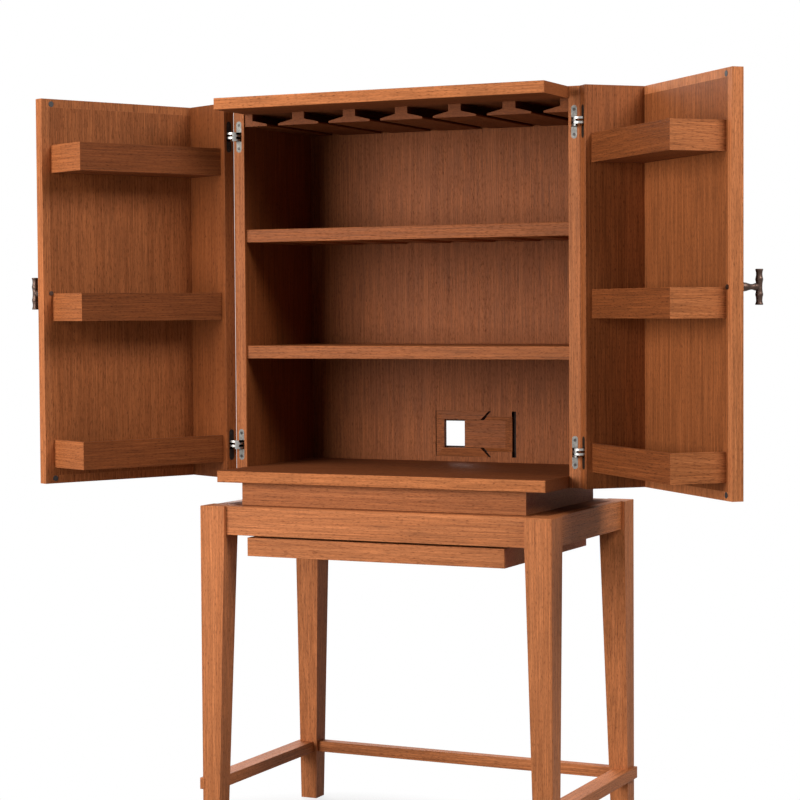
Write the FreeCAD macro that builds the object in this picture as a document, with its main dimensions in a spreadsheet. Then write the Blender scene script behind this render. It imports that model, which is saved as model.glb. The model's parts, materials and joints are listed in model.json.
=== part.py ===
"""Bar cabinet on a tall stand: a case with two L-shaped doors, door trays, a stemware rack,
fixed shelves, a cable outlet with a sliding plate, and a serving shelf that pulls out below.

Frame: +X to the viewer's right, +Y to the back, +Z up, millimetres.
Origin: the middle of the stand's footprint, on the floor.
"""
import FreeCAD, Part
import math
import os
import Sketcher

Vector = FreeCAD.Vector
doc = FreeCAD.newDocument("bar_cabinet")

# ---------------------------------------------------------------- driving dimensions
SIZES = [
    # the stand
    ("stand_width", 828, "stand, outside of the legs"),
    ("stand_depth", 500, "stand, front to back"),
    ("stand_height", 740, "floor to the stand's top"),
    ("leg_size", 60, "square leg at the apron"),
    ("leg_foot", 40, "square leg at the floor"),
    ("apron_height", 63, "apron board height"),
    ("apron_thick", 22, "apron board thickness"),
    ("apron_recess", 9, "apron face behind the leg's face"),
    ("tenon_length", 24, "apron tenon in the leg"),
    ("tenon_thick", 10, "apron tenon thickness"),
    ("tenon_shoulder", 8, "apron above and below its tenon"),
    ("glue_gap", 0.15, "clearance of a glued joint"),
    ("stand_top_thick", 20, "panel inside the aprons"),
    ("stretcher_low", 112, "floor to the stretchers"),
    ("stretcher_height", 25, "stretcher height"),
    ("rear_stretcher_depth", 25, "rear stretcher, front to back"),
    ("rear_stretcher_inset", 8, "rear stretcher from the stand's back"),
    ("side_stretcher_width", 42, "side stretcher board width"),
    ("side_stretcher_proud", 7, "side stretcher beyond the leg"),
    ("notch_depth", 6, "notch of the side stretcher in the leg"),
    ("stretcher_end_front", 2, "stretcher end proud of the front leg"),
    ("stretcher_end_rear", 2.5, "stretcher end proud of the rear leg"),
    ("end_chamfer", 1.8, "chamfer on the stretcher's end"),
    ("plinth_width", 674, "plinth frame width"),
    ("plinth_depth", 396, "plinth frame depth"),
    ("plinth_height", 50, "plinth frame height"),
    ("plinth_thick", 18, "plinth board thickness"),
    # the pull-out serving shelf under the stand
    ("slab_width", 608, "serving shelf width"),
    ("slab_depth", 478, "serving shelf depth"),
    ("slab_thick", 40.5, "serving shelf thickness"),
    ("slab_round", 1.2, "rounding of the serving shelf's front and rear edges"),
    ("slab_inset", 14, "serving shelf behind the stand's front"),
    ("slab_gap", 4.5, "air between serving shelf and apron"),
    ("slab_travel", 300, "how far the serving shelf pulls out"),
    ("runner_width", 46, "grooved runner width"),
    ("runner_spacing", 420, "between the runners' centres"),
    ("runner_lip", 12, "runner material under the cleat's head"),
    ("cleat_stem", 14, "cleat stem width"),
    ("cleat_head", 28, "cleat head width"),
    ("cleat_head_height", 12, "cleat head height"),
    ("slide_gap", 0.6, "clearance of a sliding fit"),
    # the case
    ("case_width", 830, "case, outside of the sides"),
    ("case_height", 842, "case height"),
    ("carcass_depth", 334.5, "case side, front edge to back"),
    ("side_thick", 26, "case side thickness"),
    ("board_thick", 25, "case top and bottom thickness"),
    ("back_thick", 12, "case back thickness"),
    ("board_side_gap", 1, "top and bottom board beside the closed door"),
    ("board_front_gap", 0.8, "top and bottom board behind the closed door"),
    ("shelf_thick", 28.5, "fixed shelf thickness"),
    ("upper_shelf_top", 559, "upper shelf's top over the case's underside"),
    ("lower_shelf_top", 298, "lower shelf's top over the case's underside"),
    ("shelf_setback", 7, "shelf behind the side's front edge"),
    ("housing_depth", 6, "groove of a shelf in the side"),
    ("groove_count", 7, "coves under the upper shelf"),
    ("groove_width", 56, "cove width"),
    ("groove_depth", 12, "cove depth"),
    ("groove_stop", 12, "wood left in front of the coves"),
    # the stemware rack
    ("rail_count", 5, "whole T rails"),
    ("rail_gap", 24.6, "slot for the stems between two T rails"),
    ("wall_rail_gap", 27.3, "slot for the stems beside a half rail"),
    ("rail_tip", 4, "T rail foot thickness at its tips"),
    ("rail_chamfer", 1, "chamfer on a rail's tips"),
    ("rail_root", 12.5, "T rail foot thickness at its stem"),
    ("rail_stem", 29.5, "T rail stem width"),
    ("rail_height", 27.5, "T rail height"),
    ("wall_rail_foot", 57.5, "half rail foot width"),
    ("wall_rail_stem", 19.6, "half rail stem width"),
    ("rack_setback", 4, "rack behind the side's front edge"),
    ("rack_rear_gap", 2, "rack in front of the back panel"),
    # the cable outlet in the back panel
    ("outlet_low", 37, "outlet over the case's underside"),
    ("outlet_height", 105.5, "outlet frame height"),
    ("outlet_side", 67, "outlet frame's left side from the case's middle"),
    ("outlet_web", 22, "outlet frame web width"),
    ("outlet_arm", 20, "outlet frame arm height"),
    ("outlet_reach", 132.5, "outlet frame width at the arm tips"),
    ("outlet_slope", 18.7, "slant of the arm ends"),
    ("outlet_hole_width", 52, "clear cable hole at rest"),
    ("outlet_hole_height", 58, "cable hole height"),
    ("outlet_ledge", 10, "hole that the slide covers at rest"),
    ("outlet_notch", 7.6, "arm end to the slide's shoulder at rest"),
    ("slide_head_height", 80, "slide's head height"),
    ("slide_margin", 15.6, "slide's bevelled end margin"),
    ("slide_head_length", 62.2, "slide's head length"),
    ("slide_play", 0.4, "clearance round the slide's head"),
    ("tongue_play", 1.2, "clearance between the slide's tongue and an arm"),
    ("slide_travel", 10.5, "how far the outlet slide moves to the right"),
    ("outlet_recess", 9, "recess depth in the back"),
    ("outlet_plate", 10, "outlet plate thickness"),
    ("outlet_rim", 6.5, "outlet plate thickness at its rim"),
    # the doors
    ("door_depth", 162, "door return, axis to outer front face"),
    ("door_thick", 26, "door panel thickness"),
    ("door_gap", 1.5, "half the gap between the doors"),
    ("hinge_gap", 0.2, "hinge axis to the faces that it joins"),
    ("lipping_width", 18, "solid edge strips of the door"),
    ("edge_round", 3.5, "rounding of the door's free edge"),
    ("left_open_angle", 115.6, "left door's stored opening"),
    ("right_open_angle", 134.8, "right door's stored opening"),
    # the door trays
    ("tray_gap", 24, "tray end to the door's free edge"),
    ("tray_depth", 121.6, "tray depth from the door panel"),
    ("tray_height", 60.5, "tray height"),
    ("tray_board", 12, "tray board thickness"),
    ("tray_bottom", 8, "tray bottom thickness"),
    ("tray_top_low", 681, "top tray over the case's underside"),
    ("tray_middle_low", 357, "middle tray over the case's underside"),
    ("tray_bottom_low", 35.5, "bottom tray over the case's underside"),
    # concealed hinges
    ("hinge_inset", 75, "hinge centre from the case's end"),
    ("plate_length", 69.85, "hinge plate length"),
    ("plate_width", 12.7, "hinge plate width"),
    ("plate_thick", 3, "hinge plate thickness"),
    ("plate_fit", 0.1, "clearance round the hinge in the wood"),
    ("housing_length", 46, "hinge body length behind the plate"),
    ("housing_reach", 19, "hinge body depth in the wood"),
    ("window_height", 20.4, "link window in the plate"),
    ("hinge_back", 1, "wall behind the hinge's links"),
    ("link_inner", 9.6, "link inner radius about the axis"),
    ("link_outer", 17.4, "link outer radius about the axis"),
    ("link_room", 3.2, "hinge axis to the hollow that the links turn into"),
    ("link_own_angle", 65, "sector of a link towards its own leaf"),
    ("link_far_angle", 33, "sector of a link towards the other leaf"),
    ("link_level", 4.9, "height of one link with its clearance"),
    ("link_gap", 0.4, "clearance between links"),
    # buttons and handles
    ("button_size", 12.4, "door button diameter"),
    ("button_side", 24.5, "button centre from the free edge"),
    ("button_end", 11.3, "button centre from the door's end"),
    ("button_proud", 0.5, "button proud of the door"),
    ("button_deep", 4, "button depth in the door"),
    ("handle_low", 382.3, "handle over the case's underside"),
    ("handle_length", 70.5, "handle bar length"),
    ("handle_thick", 12.4, "handle bar diameter"),
    ("handle_flare", 15.6, "handle bar end diameter"),
    ("handle_flare_length", 12.5, "length over which the bar's end flares"),
    ("handle_reach", 43, "handle bar centre from the door's face"),
    ("handle_side", 19, "handle from the free edge"),
    ("stem_thick", 10, "handle stem diameter at its waist"),
    ("stem_rose", 18, "handle stem diameter at the door"),
    ("rose_thick", 3, "straight foot of the handle stem"),
    ("waist_reach", 24, "door's face to the stem's waist"),
    ("stem_root", 9, "bar's middle to where the stem has the bar's thickness"),
    ("bolt_size", 5, "handle bolt diameter"),
    ("bolt_head", 10, "handle bolt head diameter"),
    ("bolt_head_height", 2, "handle bolt head height"),
    ("bolt_bite", 12, "handle bolt thread in the stem"),
    ("arris", 0.8, "small chamfer on every visible edge"),
]

sheet = doc.addObject("Spreadsheet::Sheet", "sizes")
for row, (alias, value, meaning) in enumerate(SIZES, start=1):
    sheet.set("A%d" % row, meaning)
    sheet.set("B%d" % row, str(value))
    sheet.setAlias("B%d" % row, alias)
doc.recompute()


class Size:
    """A size worked out from the sheet: its value, and the expression that gives it."""

    def __init__(self, value, text):
        self.value = float(value)
        self.text = text

    def __add__(self, other):
        other = as_size(other)
        return Size(self.value + other.value, "(%s + %s)" % (self.text, other.text))

    def __sub__(self, other):
        other = as_size(other)
        return Size(self.value - other.value, "(%s - %s)" % (self.text, other.text))

    def __mul__(self, other):
        other = as_size(other)
        return Size(self.value * other.value, "(%s * %s)" % (self.text, other.text))

    def __truediv__(self, other):
        other = as_size(other)
        return Size(self.value / other.value, "(%s / %s)" % (self.text, other.text))

    def __rsub__(self, other):
        return as_size(other) - self

    def __neg__(self):
        return as_size(0) - self

    __radd__ = __add__
    __rmul__ = __mul__


def as_size(item):
    if isinstance(item, Size):
        return item
    return Size(item, repr(float(item)))


def size(alias):
    return Size(sheet.get(alias), "sizes." + alias)


def bind(target, prop, amount):
    target.setExpression(prop, as_size(amount).text)


# ---------------------------------------------------------------- building blocks
NODES = []
LEFT = 1
RIGHT = -1
SIDE_NAMES = {LEFT: "left", RIGHT: "right"}
CUT_OVER = 1  # how far a cutting outline reaches past the wood, in millimetres
LEAST_CUT = 0.01  # the least wood that a pocket takes away, in cubic millimetres
SAME_LEVEL = 0.0001  # two levels closer than this are one
HINGE_STAGES = 3  # the door, its links and the case's links share the turn in equal stages


def keep(item, label):
    """Register a finished object as one node of the cabinet."""
    item.Label = label
    NODES.append(item)
    return item


def new_body(name):
    return doc.addObject("PartDesign::Body", name)


def origin_plane(body, role):
    for feature in body.Origin.OriginFeatures:
        if feature.Role == role:
            return feature
    raise ValueError(role)


def new_sketch(body, name, plane, level):
    """A sketch on one of the body's own planes, moved to a level along that plane's axis.

    XY looks along Z, YZ along X, and XZ along Y, whose own normal points to -Y.
    """
    sketch = body.newObject("Sketcher::SketchObject", name)
    sketch.AttachmentSupport = (origin_plane(body, plane + "_Plane"), [""])
    sketch.MapMode = "FlatFace"
    bind(sketch, "AttachmentOffset.Base.z", -as_size(level) if plane == "XZ" else level)
    return sketch


def fix_point(sketch, geometry, vertex, across, up):
    """Hold a vertex at (across, up) from the sketch's origin."""
    across = as_size(across)
    up = as_size(up)
    index = sketch.addConstraint(Sketcher.Constraint("DistanceX", -1, 1, geometry, vertex, across.value))
    sketch.setExpression("Constraints[%d]" % index, across.text)
    index = sketch.addConstraint(Sketcher.Constraint("DistanceY", -1, 1, geometry, vertex, up.value))
    sketch.setExpression("Constraints[%d]" % index, up.text)


def draw_polygon(sketch, corners):
    values = [Vector(as_size(across).value, as_size(up).value, 0) for across, up in corners]
    count = len(corners)
    first = sketch.GeometryCount
    for index in range(count):
        sketch.addGeometry(Part.LineSegment(values[index], values[(index + 1) % count]), False)
    for index in range(count):
        following = first + (index + 1) % count
        sketch.addConstraint(Sketcher.Constraint("Coincident", first + index, 2, following, 1))
    for index, (across, up) in enumerate(corners):
        fix_point(sketch, first + index, 1, across, up)


def draw_circle(sketch, across, up, radius):
    across = as_size(across)
    up = as_size(up)
    radius = as_size(radius)
    centre = Vector(across.value, up.value, 0)
    geometry = sketch.addGeometry(Part.Circle(centre, Vector(0, 0, 1), radius.value), False)
    index = sketch.addConstraint(Sketcher.Constraint("Radius", geometry, radius.value))
    sketch.setExpression("Constraints[%d]" % index, radius.text)
    fix_point(sketch, geometry, 3, across, up)


def ordered(first, second):
    """Two levels, the lower one first, also on the mirrored side."""
    return sorted([as_size(first), as_size(second)], key=lambda item: item.value)


def rectangle(left, low, right, high):
    return [(left, low), (right, low), (right, high), (left, high)]


def feature_name(body, kind):
    return "%s_%s_%d" % (body.Name, kind, len(body.Group))


def add_prism(body, plane, corners, low, high):
    """Pad a polygon from one level of the plane's axis to another."""
    start = high if plane == "XZ" else low
    sketch = new_sketch(body, feature_name(body, "outline"), plane, start)
    draw_polygon(sketch, corners)
    pad = body.newObject("PartDesign::Pad", feature_name(body, "pad"))
    pad.Profile = sketch
    bind(pad, "Length", as_size(high) - low)
    return pad


def cut_sketch(body, sketch, low, high):
    """Pocket a sketch, and make sure that it takes wood away."""
    doc.recompute()
    before = body.Shape.Volume
    pocket = body.newObject("PartDesign::Pocket", feature_name(body, "pocket"))
    pocket.Profile = sketch
    bind(pocket, "Length", as_size(high) - low)
    doc.recompute()
    if not pocket.Shape.Volume < before - LEAST_CUT:
        raise RuntimeError(pocket.Name + " cuts nothing")
    return pocket


def cut_prism(body, plane, corners, low, high):
    """Pocket a polygon from one level of the plane's axis to another."""
    start = low if plane == "XZ" else high
    sketch = new_sketch(body, feature_name(body, "outline"), plane, start)
    draw_polygon(sketch, corners)
    return cut_sketch(body, sketch, low, high)


def cut_hole(body, plane, across, up, radius, low, high):
    start = low if plane == "XZ" else high
    sketch = new_sketch(body, feature_name(body, "circle"), plane, start)
    draw_circle(sketch, across, up, radius)
    return cut_sketch(body, sketch, low, high)


def board(name, corner, opposite):
    """A rectangular board between two opposite corners."""
    body = new_body(name)
    outline = rectangle(corner[0], corner[1], opposite[0], opposite[1])
    add_prism(body, "XY", outline, corner[2], opposite[2])
    return body


def lies_on(edge, tests):
    """True where an edge's box matches every (side of the box, level) pair."""
    box = edge.BoundBox
    return all(abs(getattr(box, side) - as_size(level).value) < SAME_LEVEL for side, level in tests)


def edges_on(body, *choices):
    """The names of the tip's edges that match any of the choices."""
    doc.recompute()
    edges = body.Tip.Shape.Edges
    names = []
    for index, edge in enumerate(edges, start=1):
        if any(lies_on(edge, tests) for tests in choices):
            names.append("Edge%d" % index)
    if not names:
        raise RuntimeError("no edge to treat on " + body.Name)
    return names


def chamfer(body, names, amount):
    base = body.Tip
    feature = body.newObject("PartDesign::Chamfer", feature_name(body, "chamfer"))
    feature.Base = (base, names)
    bind(feature, "Size", amount)
    return feature


def fillet(body, names, amount):
    base = body.Tip
    feature = body.newObject("PartDesign::Fillet", feature_name(body, "fillet"))
    feature.Base = (base, names)
    bind(feature, "Radius", amount)
    return feature


def group(label, members):
    """Several separate solids that share one node."""
    compound = doc.addObject("Part::Compound", label + "_group")
    compound.Links = members
    return compound


def swing(item, side):
    """Hang an item that is drawn about its hinge axis on its side, at the stored opening."""
    item.Placement = FreeCAD.Placement(Vector(0, 0, 0), FreeCAD.Rotation(Vector(0, 0, 1), 1))
    bind(item, "Placement.Base.x", -side * hinge_across)
    bind(item, "Placement.Base.y", hinge_along)
    return item


def opening(side):
    """The stored opening as a signed turn about +Z."""
    return -size("left_open_angle") if side == LEFT else size("right_open_angle")


# ---------------------------------------------------------------- derived levels
half_stand = size("stand_width") / 2
half_depth = size("stand_depth") / 2
stand_top_level = size("stand_height")
apron_low = stand_top_level - size("apron_height")
leg_inner_x = half_stand - size("leg_size")
leg_inner_y = half_depth - size("leg_size")
apron_face_x = half_stand - size("apron_recess")
apron_face_y = half_depth - size("apron_recess")
apron_inner_x = apron_face_x - size("apron_thick")
apron_inner_y = apron_face_y - size("apron_thick")
case_low = stand_top_level + size("plinth_height")
case_high = case_low + size("case_height")
floor_level = case_low + size("board_thick")
ceiling_level = case_high - size("board_thick")
half_case = size("case_width") / 2
half_inside = half_case - size("side_thick")
case_front = half_depth - size("carcass_depth")
back_front = half_depth - size("back_thick")
hinge_across = half_case + size("hinge_gap")
hinge_along = case_front - size("hinge_gap")
door_inner = size("door_depth") - size("door_thick")
board_front = hinge_along - door_inner + size("board_front_gap")
half_board = half_inside - size("board_side_gap")
free_edge = hinge_across - size("door_gap")
rack_width = (half_inside - size("wall_rail_foot") - size("wall_rail_gap")) * 2
rail_foot = (rack_width - (size("rail_count") - 1) * size("rail_gap")) / size("rail_count")
rail_pitch = rail_foot + size("rail_gap")


def leg_taper(level):
    """How far a leg's inner face has drawn in at a level below the apron."""
    return (size("leg_size") - size("leg_foot")) * (apron_low - level) / apron_low


# ---------------------------------------------------------------- the stand
def make_leg(label, across, along):
    """A leg whose two inner faces taper below the apron; across and along are +1 or -1."""
    body = new_body(label)
    foot_x = half_stand - size("leg_foot")
    foot_y = half_depth - size("leg_foot")
    profile = [
        (across * half_stand, 0),
        (across * half_stand, stand_top_level),
        (across * leg_inner_x, stand_top_level),
        (across * leg_inner_x, apron_low),
        (across * foot_x, 0),
    ]
    levels = ordered(along * leg_inner_y, along * half_depth)
    add_prism(body, "XZ", profile, levels[0], levels[1])
    taper = [
        (along * leg_inner_y, apron_low),
        (along * foot_y, 0),
        (along * (leg_inner_y - CUT_OVER), 0),
        (along * (leg_inner_y - CUT_OVER), apron_low),
    ]
    sides = ordered(across * leg_inner_x, across * half_stand)
    cut_prism(body, "YZ", taper, sides[0], sides[1])
    cut_mortises(body, across, along)
    outer = across * half_stand
    notch_face = across * (half_stand - size("notch_depth") - size("glue_gap"))
    ends = ordered(outer, notch_face)
    reach = ordered(along * half_depth, along * leg_inner_y)
    cut_prism(body, "XZ",
              rectangle(ends[0], size("stretcher_low") - size("glue_gap"), ends[1],
                        size("stretcher_low") + size("stretcher_height") + size("glue_gap")),
              reach[0], reach[1])
    outer_face = along * half_depth
    long_edges = [("XMin", outer), ("XMax", outer), ("YMin", outer_face), ("YMax", outer_face)]
    chamfer(body, edges_on(body, long_edges, [("ZMin", stand_top_level), ("ZMax", stand_top_level)]),
            size("arris"))
    return keep(body, label)


def cut_mortises(body, across, along):
    """The two mortises that take the aprons' tenons."""
    gap = size("glue_gap")
    low = apron_low + size("tenon_shoulder") - gap
    high = stand_top_level - size("tenon_shoulder") + gap
    middle_y = apron_face_y - size("apron_thick") / 2
    middle_x = apron_face_x - size("apron_thick") / 2
    half_tenon = size("tenon_thick") / 2 + gap
    depth = size("tenon_length") + gap
    ends = ordered(across * leg_inner_x, across * (leg_inner_x + depth))
    sides = ordered(along * (middle_y - half_tenon), along * (middle_y + half_tenon))
    cut_prism(body, "XY", rectangle(ends[0], sides[0], ends[1], sides[1]), low, high)
    ends = ordered(along * leg_inner_y, along * (leg_inner_y + depth))
    sides = ordered(across * (middle_x - half_tenon), across * (middle_x + half_tenon))
    cut_prism(body, "XY", rectangle(sides[0], ends[0], sides[1], ends[1]), low, high)


def make_cross_apron(label, along):
    """Front or rear apron with its two tenons."""
    faces = ordered(along * apron_face_y, along * apron_inner_y)
    body = board(label, (-leg_inner_x, faces[0], apron_low), (leg_inner_x, faces[1], stand_top_level))
    middle = along * (apron_face_y - size("apron_thick") / 2)
    reach = leg_inner_x + size("tenon_length")
    add_prism(body, "XY",
              rectangle(-reach, middle - size("tenon_thick") / 2, reach, middle + size("tenon_thick") / 2),
              apron_low + size("tenon_shoulder"), stand_top_level - size("tenon_shoulder"))
    face = along * apron_face_y
    outer = [("YMin", face), ("YMax", face)]
    chamfer(body, edges_on(body, outer + [("ZMin", stand_top_level)], outer + [("ZMax", apron_low)]),
            size("arris"))
    return keep(body, label)


def make_side_apron(label, across):
    """Left or right apron with its two tenons."""
    faces = ordered(across * apron_face_x, across * apron_inner_x)
    body = board(label, (faces[0], -leg_inner_y, apron_low), (faces[1], leg_inner_y, stand_top_level))
    middle = across * (apron_face_x - size("apron_thick") / 2)
    reach = leg_inner_y + size("tenon_length")
    add_prism(body, "XY",
              rectangle(middle - size("tenon_thick") / 2, -reach, middle + size("tenon_thick") / 2, reach),
              apron_low + size("tenon_shoulder"), stand_top_level - size("tenon_shoulder"))
    face = across * apron_face_x
    outer = [("XMin", face), ("XMax", face)]
    chamfer(body, edges_on(body, outer + [("ZMin", stand_top_level)], outer + [("ZMax", apron_low)]),
            size("arris"))
    return keep(body, label)


def make_stand_top():
    """The panel inside the aprons, flush with them and notched round the legs."""
    body = new_body("stand_top")
    corners = []
    for across, along in ((1, -1), (1, 1), (-1, 1), (-1, -1)):
        notch = [
            (across * leg_inner_x, along * apron_inner_y),
            (across * leg_inner_x, along * leg_inner_y),
            (across * apron_inner_x, along * leg_inner_y),
        ]
        corners += notch if across * along < 0 else notch[::-1]
    add_prism(body, "XY", corners, stand_top_level - size("stand_top_thick"), stand_top_level)
    return keep(body, "stand_top")


def make_side_stretcher(label, across):
    """A board between the legs whose outer tongue runs through a notch in each leg."""
    body = new_body(label)
    low = size("stretcher_low")
    high = low + size("stretcher_height")
    outer = half_stand + size("side_stretcher_proud")
    inner = outer - size("side_stretcher_width")
    tongue = half_stand - size("notch_depth")
    reach_low = leg_inner_y + leg_taper(low)
    reach_high = leg_inner_y + leg_taper(high)
    sides = ordered(across * inner, across * outer)
    add_prism(body, "YZ", [(-reach_low, low), (reach_low, low), (reach_high, high), (-reach_high, high)],
              sides[0], sides[1])
    sides = ordered(across * tongue, across * outer)
    front = -half_depth - size("stretcher_end_front")
    rear = half_depth + size("stretcher_end_rear")
    add_prism(body, "YZ", rectangle(front, low, rear, high), sides[0], sides[1])
    ends = [[("YMin", level), ("YMax", level)] for level in (front, rear)]
    chamfer(body, edges_on(body, *ends), size("end_chamfer"))
    return keep(body, label)


def make_rear_stretcher():
    """The square bar between the rear legs' tapered faces."""
    body = new_body("stretcher_rear")
    low = size("stretcher_low")
    high = low + size("stretcher_height")
    reach_low = leg_inner_x + leg_taper(low)
    reach_high = leg_inner_x + leg_taper(high)
    rear = half_depth - size("rear_stretcher_inset")
    front = rear - size("rear_stretcher_depth")
    add_prism(body, "XZ", [(-reach_low, low), (reach_low, low), (reach_high, high), (-reach_high, high)],
              front, rear)
    long_edges = [[(side, level), (other, level)]
                  for side, other, level in (("ZMin", "ZMax", low), ("ZMin", "ZMax", high))]
    front_edges = [tests + [("YMin", front), ("YMax", front)] for tests in long_edges]
    chamfer(body, edges_on(body, *front_edges), size("arris"))
    return keep(body, "stretcher_rear")


def make_plinth():
    """Four mitred boards between the stand and the case."""
    half_width = size("plinth_width") / 2
    half_length = size("plinth_depth") / 2
    thick = size("plinth_thick")
    boards = []
    for name, along in (("front", -1), ("rear", 1)):
        body = new_body("plinth_" + name)
        outline = [
            (-half_width, along * half_length),
            (half_width, along * half_length),
            (half_width - thick, along * (half_length - thick)),
            (thick - half_width, along * (half_length - thick)),
        ]
        add_prism(body, "XY", outline, stand_top_level, case_low)
        boards.append(body)
    for name, across in (("left", -1), ("right", 1)):
        body = new_body("plinth_" + name)
        outline = [
            (across * half_width, -half_length),
            (across * half_width, half_length),
            (across * (half_width - thick), half_length - thick),
            (across * (half_width - thick), thick - half_length),
        ]
        add_prism(body, "XY", outline, stand_top_level, case_low)
        boards.append(body)
    return keep(group("plinth", boards), "plinth")


# ---------------------------------------------------------------- the pull-out serving shelf
slab_front = size("slab_inset") - half_depth
slab_high = apron_low - size("slab_gap")
slab_low = slab_high - size("slab_thick")
runner_high = stand_top_level - size("stand_top_thick")
head_low = apron_low + size("runner_lip") + size("slide_gap")
cleat_front = size("slab_travel") + size("slide_gap") - apron_inner_y
cleat_rear = apron_inner_y - size("slide_gap")


def make_runners():
    """Two grooved runners under the stand's top: a T slot, open downwards."""
    runners = []
    for name, across in (("left", -1), ("right", 1)):
        middle = across * size("runner_spacing") / 2
        half = size("runner_width") / 2
        mouth = size("cleat_stem") / 2 + size("slide_gap")
        slot = size("cleat_head") / 2 + size("slide_gap")
        lip = apron_low + size("runner_lip")
        roof = head_low + size("cleat_head_height") + size("slide_gap")
        body = new_body("runner_" + name)
        outline = [
            (middle - half, apron_low),
            (middle - mouth, apron_low),
            (middle - mouth, lip),
            (middle - slot, lip),
            (middle - slot, roof),
            (middle + slot, roof),
            (middle + slot, lip),
            (middle + mouth, lip),
            (middle + mouth, apron_low),
            (middle + half, apron_low),
            (middle + half, runner_high),
            (middle - half, runner_high),
        ]
        add_prism(body, "XZ", outline, -apron_inner_y, apron_inner_y)
        runners.append(body)
    return keep(group("shelf_runners", runners), "shelf_runners")


def make_cleats():
    """Two T-shaped cleats on the rear of the serving shelf; they hang in the runners."""
    cleats = []
    for name, across in (("left", -1), ("right", 1)):
        middle = across * size("runner_spacing") / 2
        stem = size("cleat_stem") / 2
        head = size("cleat_head") / 2
        body = new_body("cleat_" + name)
        outline = [
            (middle - stem, slab_high),
            (middle + stem, slab_high),
            (middle + stem, head_low),
            (middle + head, head_low),
            (middle + head, head_low + size("cleat_head_height")),
            (middle - head, head_low + size("cleat_head_height")),
            (middle - head, head_low),
            (middle - stem, head_low),
        ]
        add_prism(body, "XZ", outline, cleat_front, cleat_rear)
        cleats.append(body)
    return keep(group("shelf_cleats", cleats), "shelf_cleats")


def make_slab():
    """The serving shelf: one thick board under the aprons."""
    half = size("slab_width") / 2
    rear = slab_front + size("slab_depth")
    body = board("pull_out_shelf", (-half, slab_front, slab_low), (half, rear, slab_high))
    end_edges = [[("YMin", slab_front), ("YMax", slab_front)], [("YMin", rear), ("YMax", rear)]]
    fillet(body, edges_on(body, *end_edges), size("slab_round"))
    return keep(body, "pull_out_shelf")


# ---------------------------------------------------------------- the case
def hinge_levels():
    return [case_low + size("hinge_inset"), case_high - size("hinge_inset")]


def cut_hinge_seat(body, side, level, face, depth_sign):
    """The mortise of one concealed hinge in a panel's edge, drawn about the hinge axis.

    face is the edge's level along Y, and depth_sign points into the wood.
    """
    fit = size("plate_fit")
    middle = side * panel_middle
    half_width = size("plate_width") / 2 + fit
    half_plate = size("plate_length") / 2 + fit
    half_housing = size("housing_length") / 2 + fit
    plate_floor = face + depth_sign * size("plate_thick")
    housing_floor = face + depth_sign * (size("housing_reach") + fit)
    ends = ordered(face, plate_floor)
    cut_prism(body, "XZ",
              stadium(middle, level, half_width, half_plate), ends[0], ends[1])
    ends = ordered(face, housing_floor)
    cut_prism(body, "XZ",
              rectangle(middle - half_width, level - half_housing, middle + half_width, level + half_housing),
              ends[0], ends[1])
    near = side * size("link_room")
    far = middle
    sides = ordered(near, far)
    half_window = size("window_height") / 2
    ends = ordered(plate_floor, housing_floor)
    cut_prism(body, "XZ",
              rectangle(sides[0], level - half_window, sides[1], level + half_window), ends[0], ends[1])


def stadium(across, up, half_width, half_length):
    """A plate outline with round ends, as a polygon of short chords."""
    steps = 6
    corners = []
    for turn, centre in ((0, half_length - half_width), (1, half_width - half_length)):
        for step in range(steps + 1):
            angle = math.pi * (turn + step / steps)
            corners.append((across + half_width * math.cos(angle),
                            up + centre + half_width * math.sin(angle)))
    return corners


panel_middle = size("hinge_gap") + size("door_thick") / 2


def make_case_side(label, side):
    """A case side, drawn about the hinge axis, with shelf housings and hinge seats."""
    body = new_body(label)
    front = size("hinge_gap")
    rear = half_depth - hinge_along
    faces = ordered(side * size("hinge_gap"), side * (size("hinge_gap") + size("side_thick")))
    add_prism(body, "XY", rectangle(faces[0], front, faces[1], rear), case_low, case_high)
    inner = side * (size("hinge_gap") + size("side_thick"))
    floor = inner - side * size("housing_depth")
    sides = ordered(inner, floor)
    for top in (size("upper_shelf_top"), size("lower_shelf_top")):
        high = case_low + top
        low = high - size("shelf_thick")
        cut_prism(body, "XY",
                  rectangle(sides[0], front + size("shelf_setback"), sides[1], back_front - hinge_along),
                  low, high)
    for level in hinge_levels():
        cut_hinge_seat(body, side, level, size("hinge_gap"), 1)
    inner_edge = [("YMin", front), ("YMax", front), ("XMin", inner), ("XMax", inner)]
    chamfer(body, edges_on(body, inner_edge), size("arris"))
    bind(body, "Placement.Base.x", -side * hinge_across)
    bind(body, "Placement.Base.y", hinge_along)
    return keep(body, label)


def make_case_board(label, low, high):
    """Case top or bottom: full width between the sides, a little less where it stands out."""
    body = new_body(label)
    outline = [
        (-half_board, board_front),
        (half_board, board_front),
        (half_board, case_front),
        (half_inside, case_front),
        (half_inside, back_front),
        (-half_inside, back_front),
        (-half_inside, case_front),
        (-half_board, case_front),
    ]
    add_prism(body, "XY", outline, low, high)
    front = [("YMin", board_front), ("YMax", board_front)]
    chamfer(body, edges_on(body, front), size("arris"))
    return keep(body, label)


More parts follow.
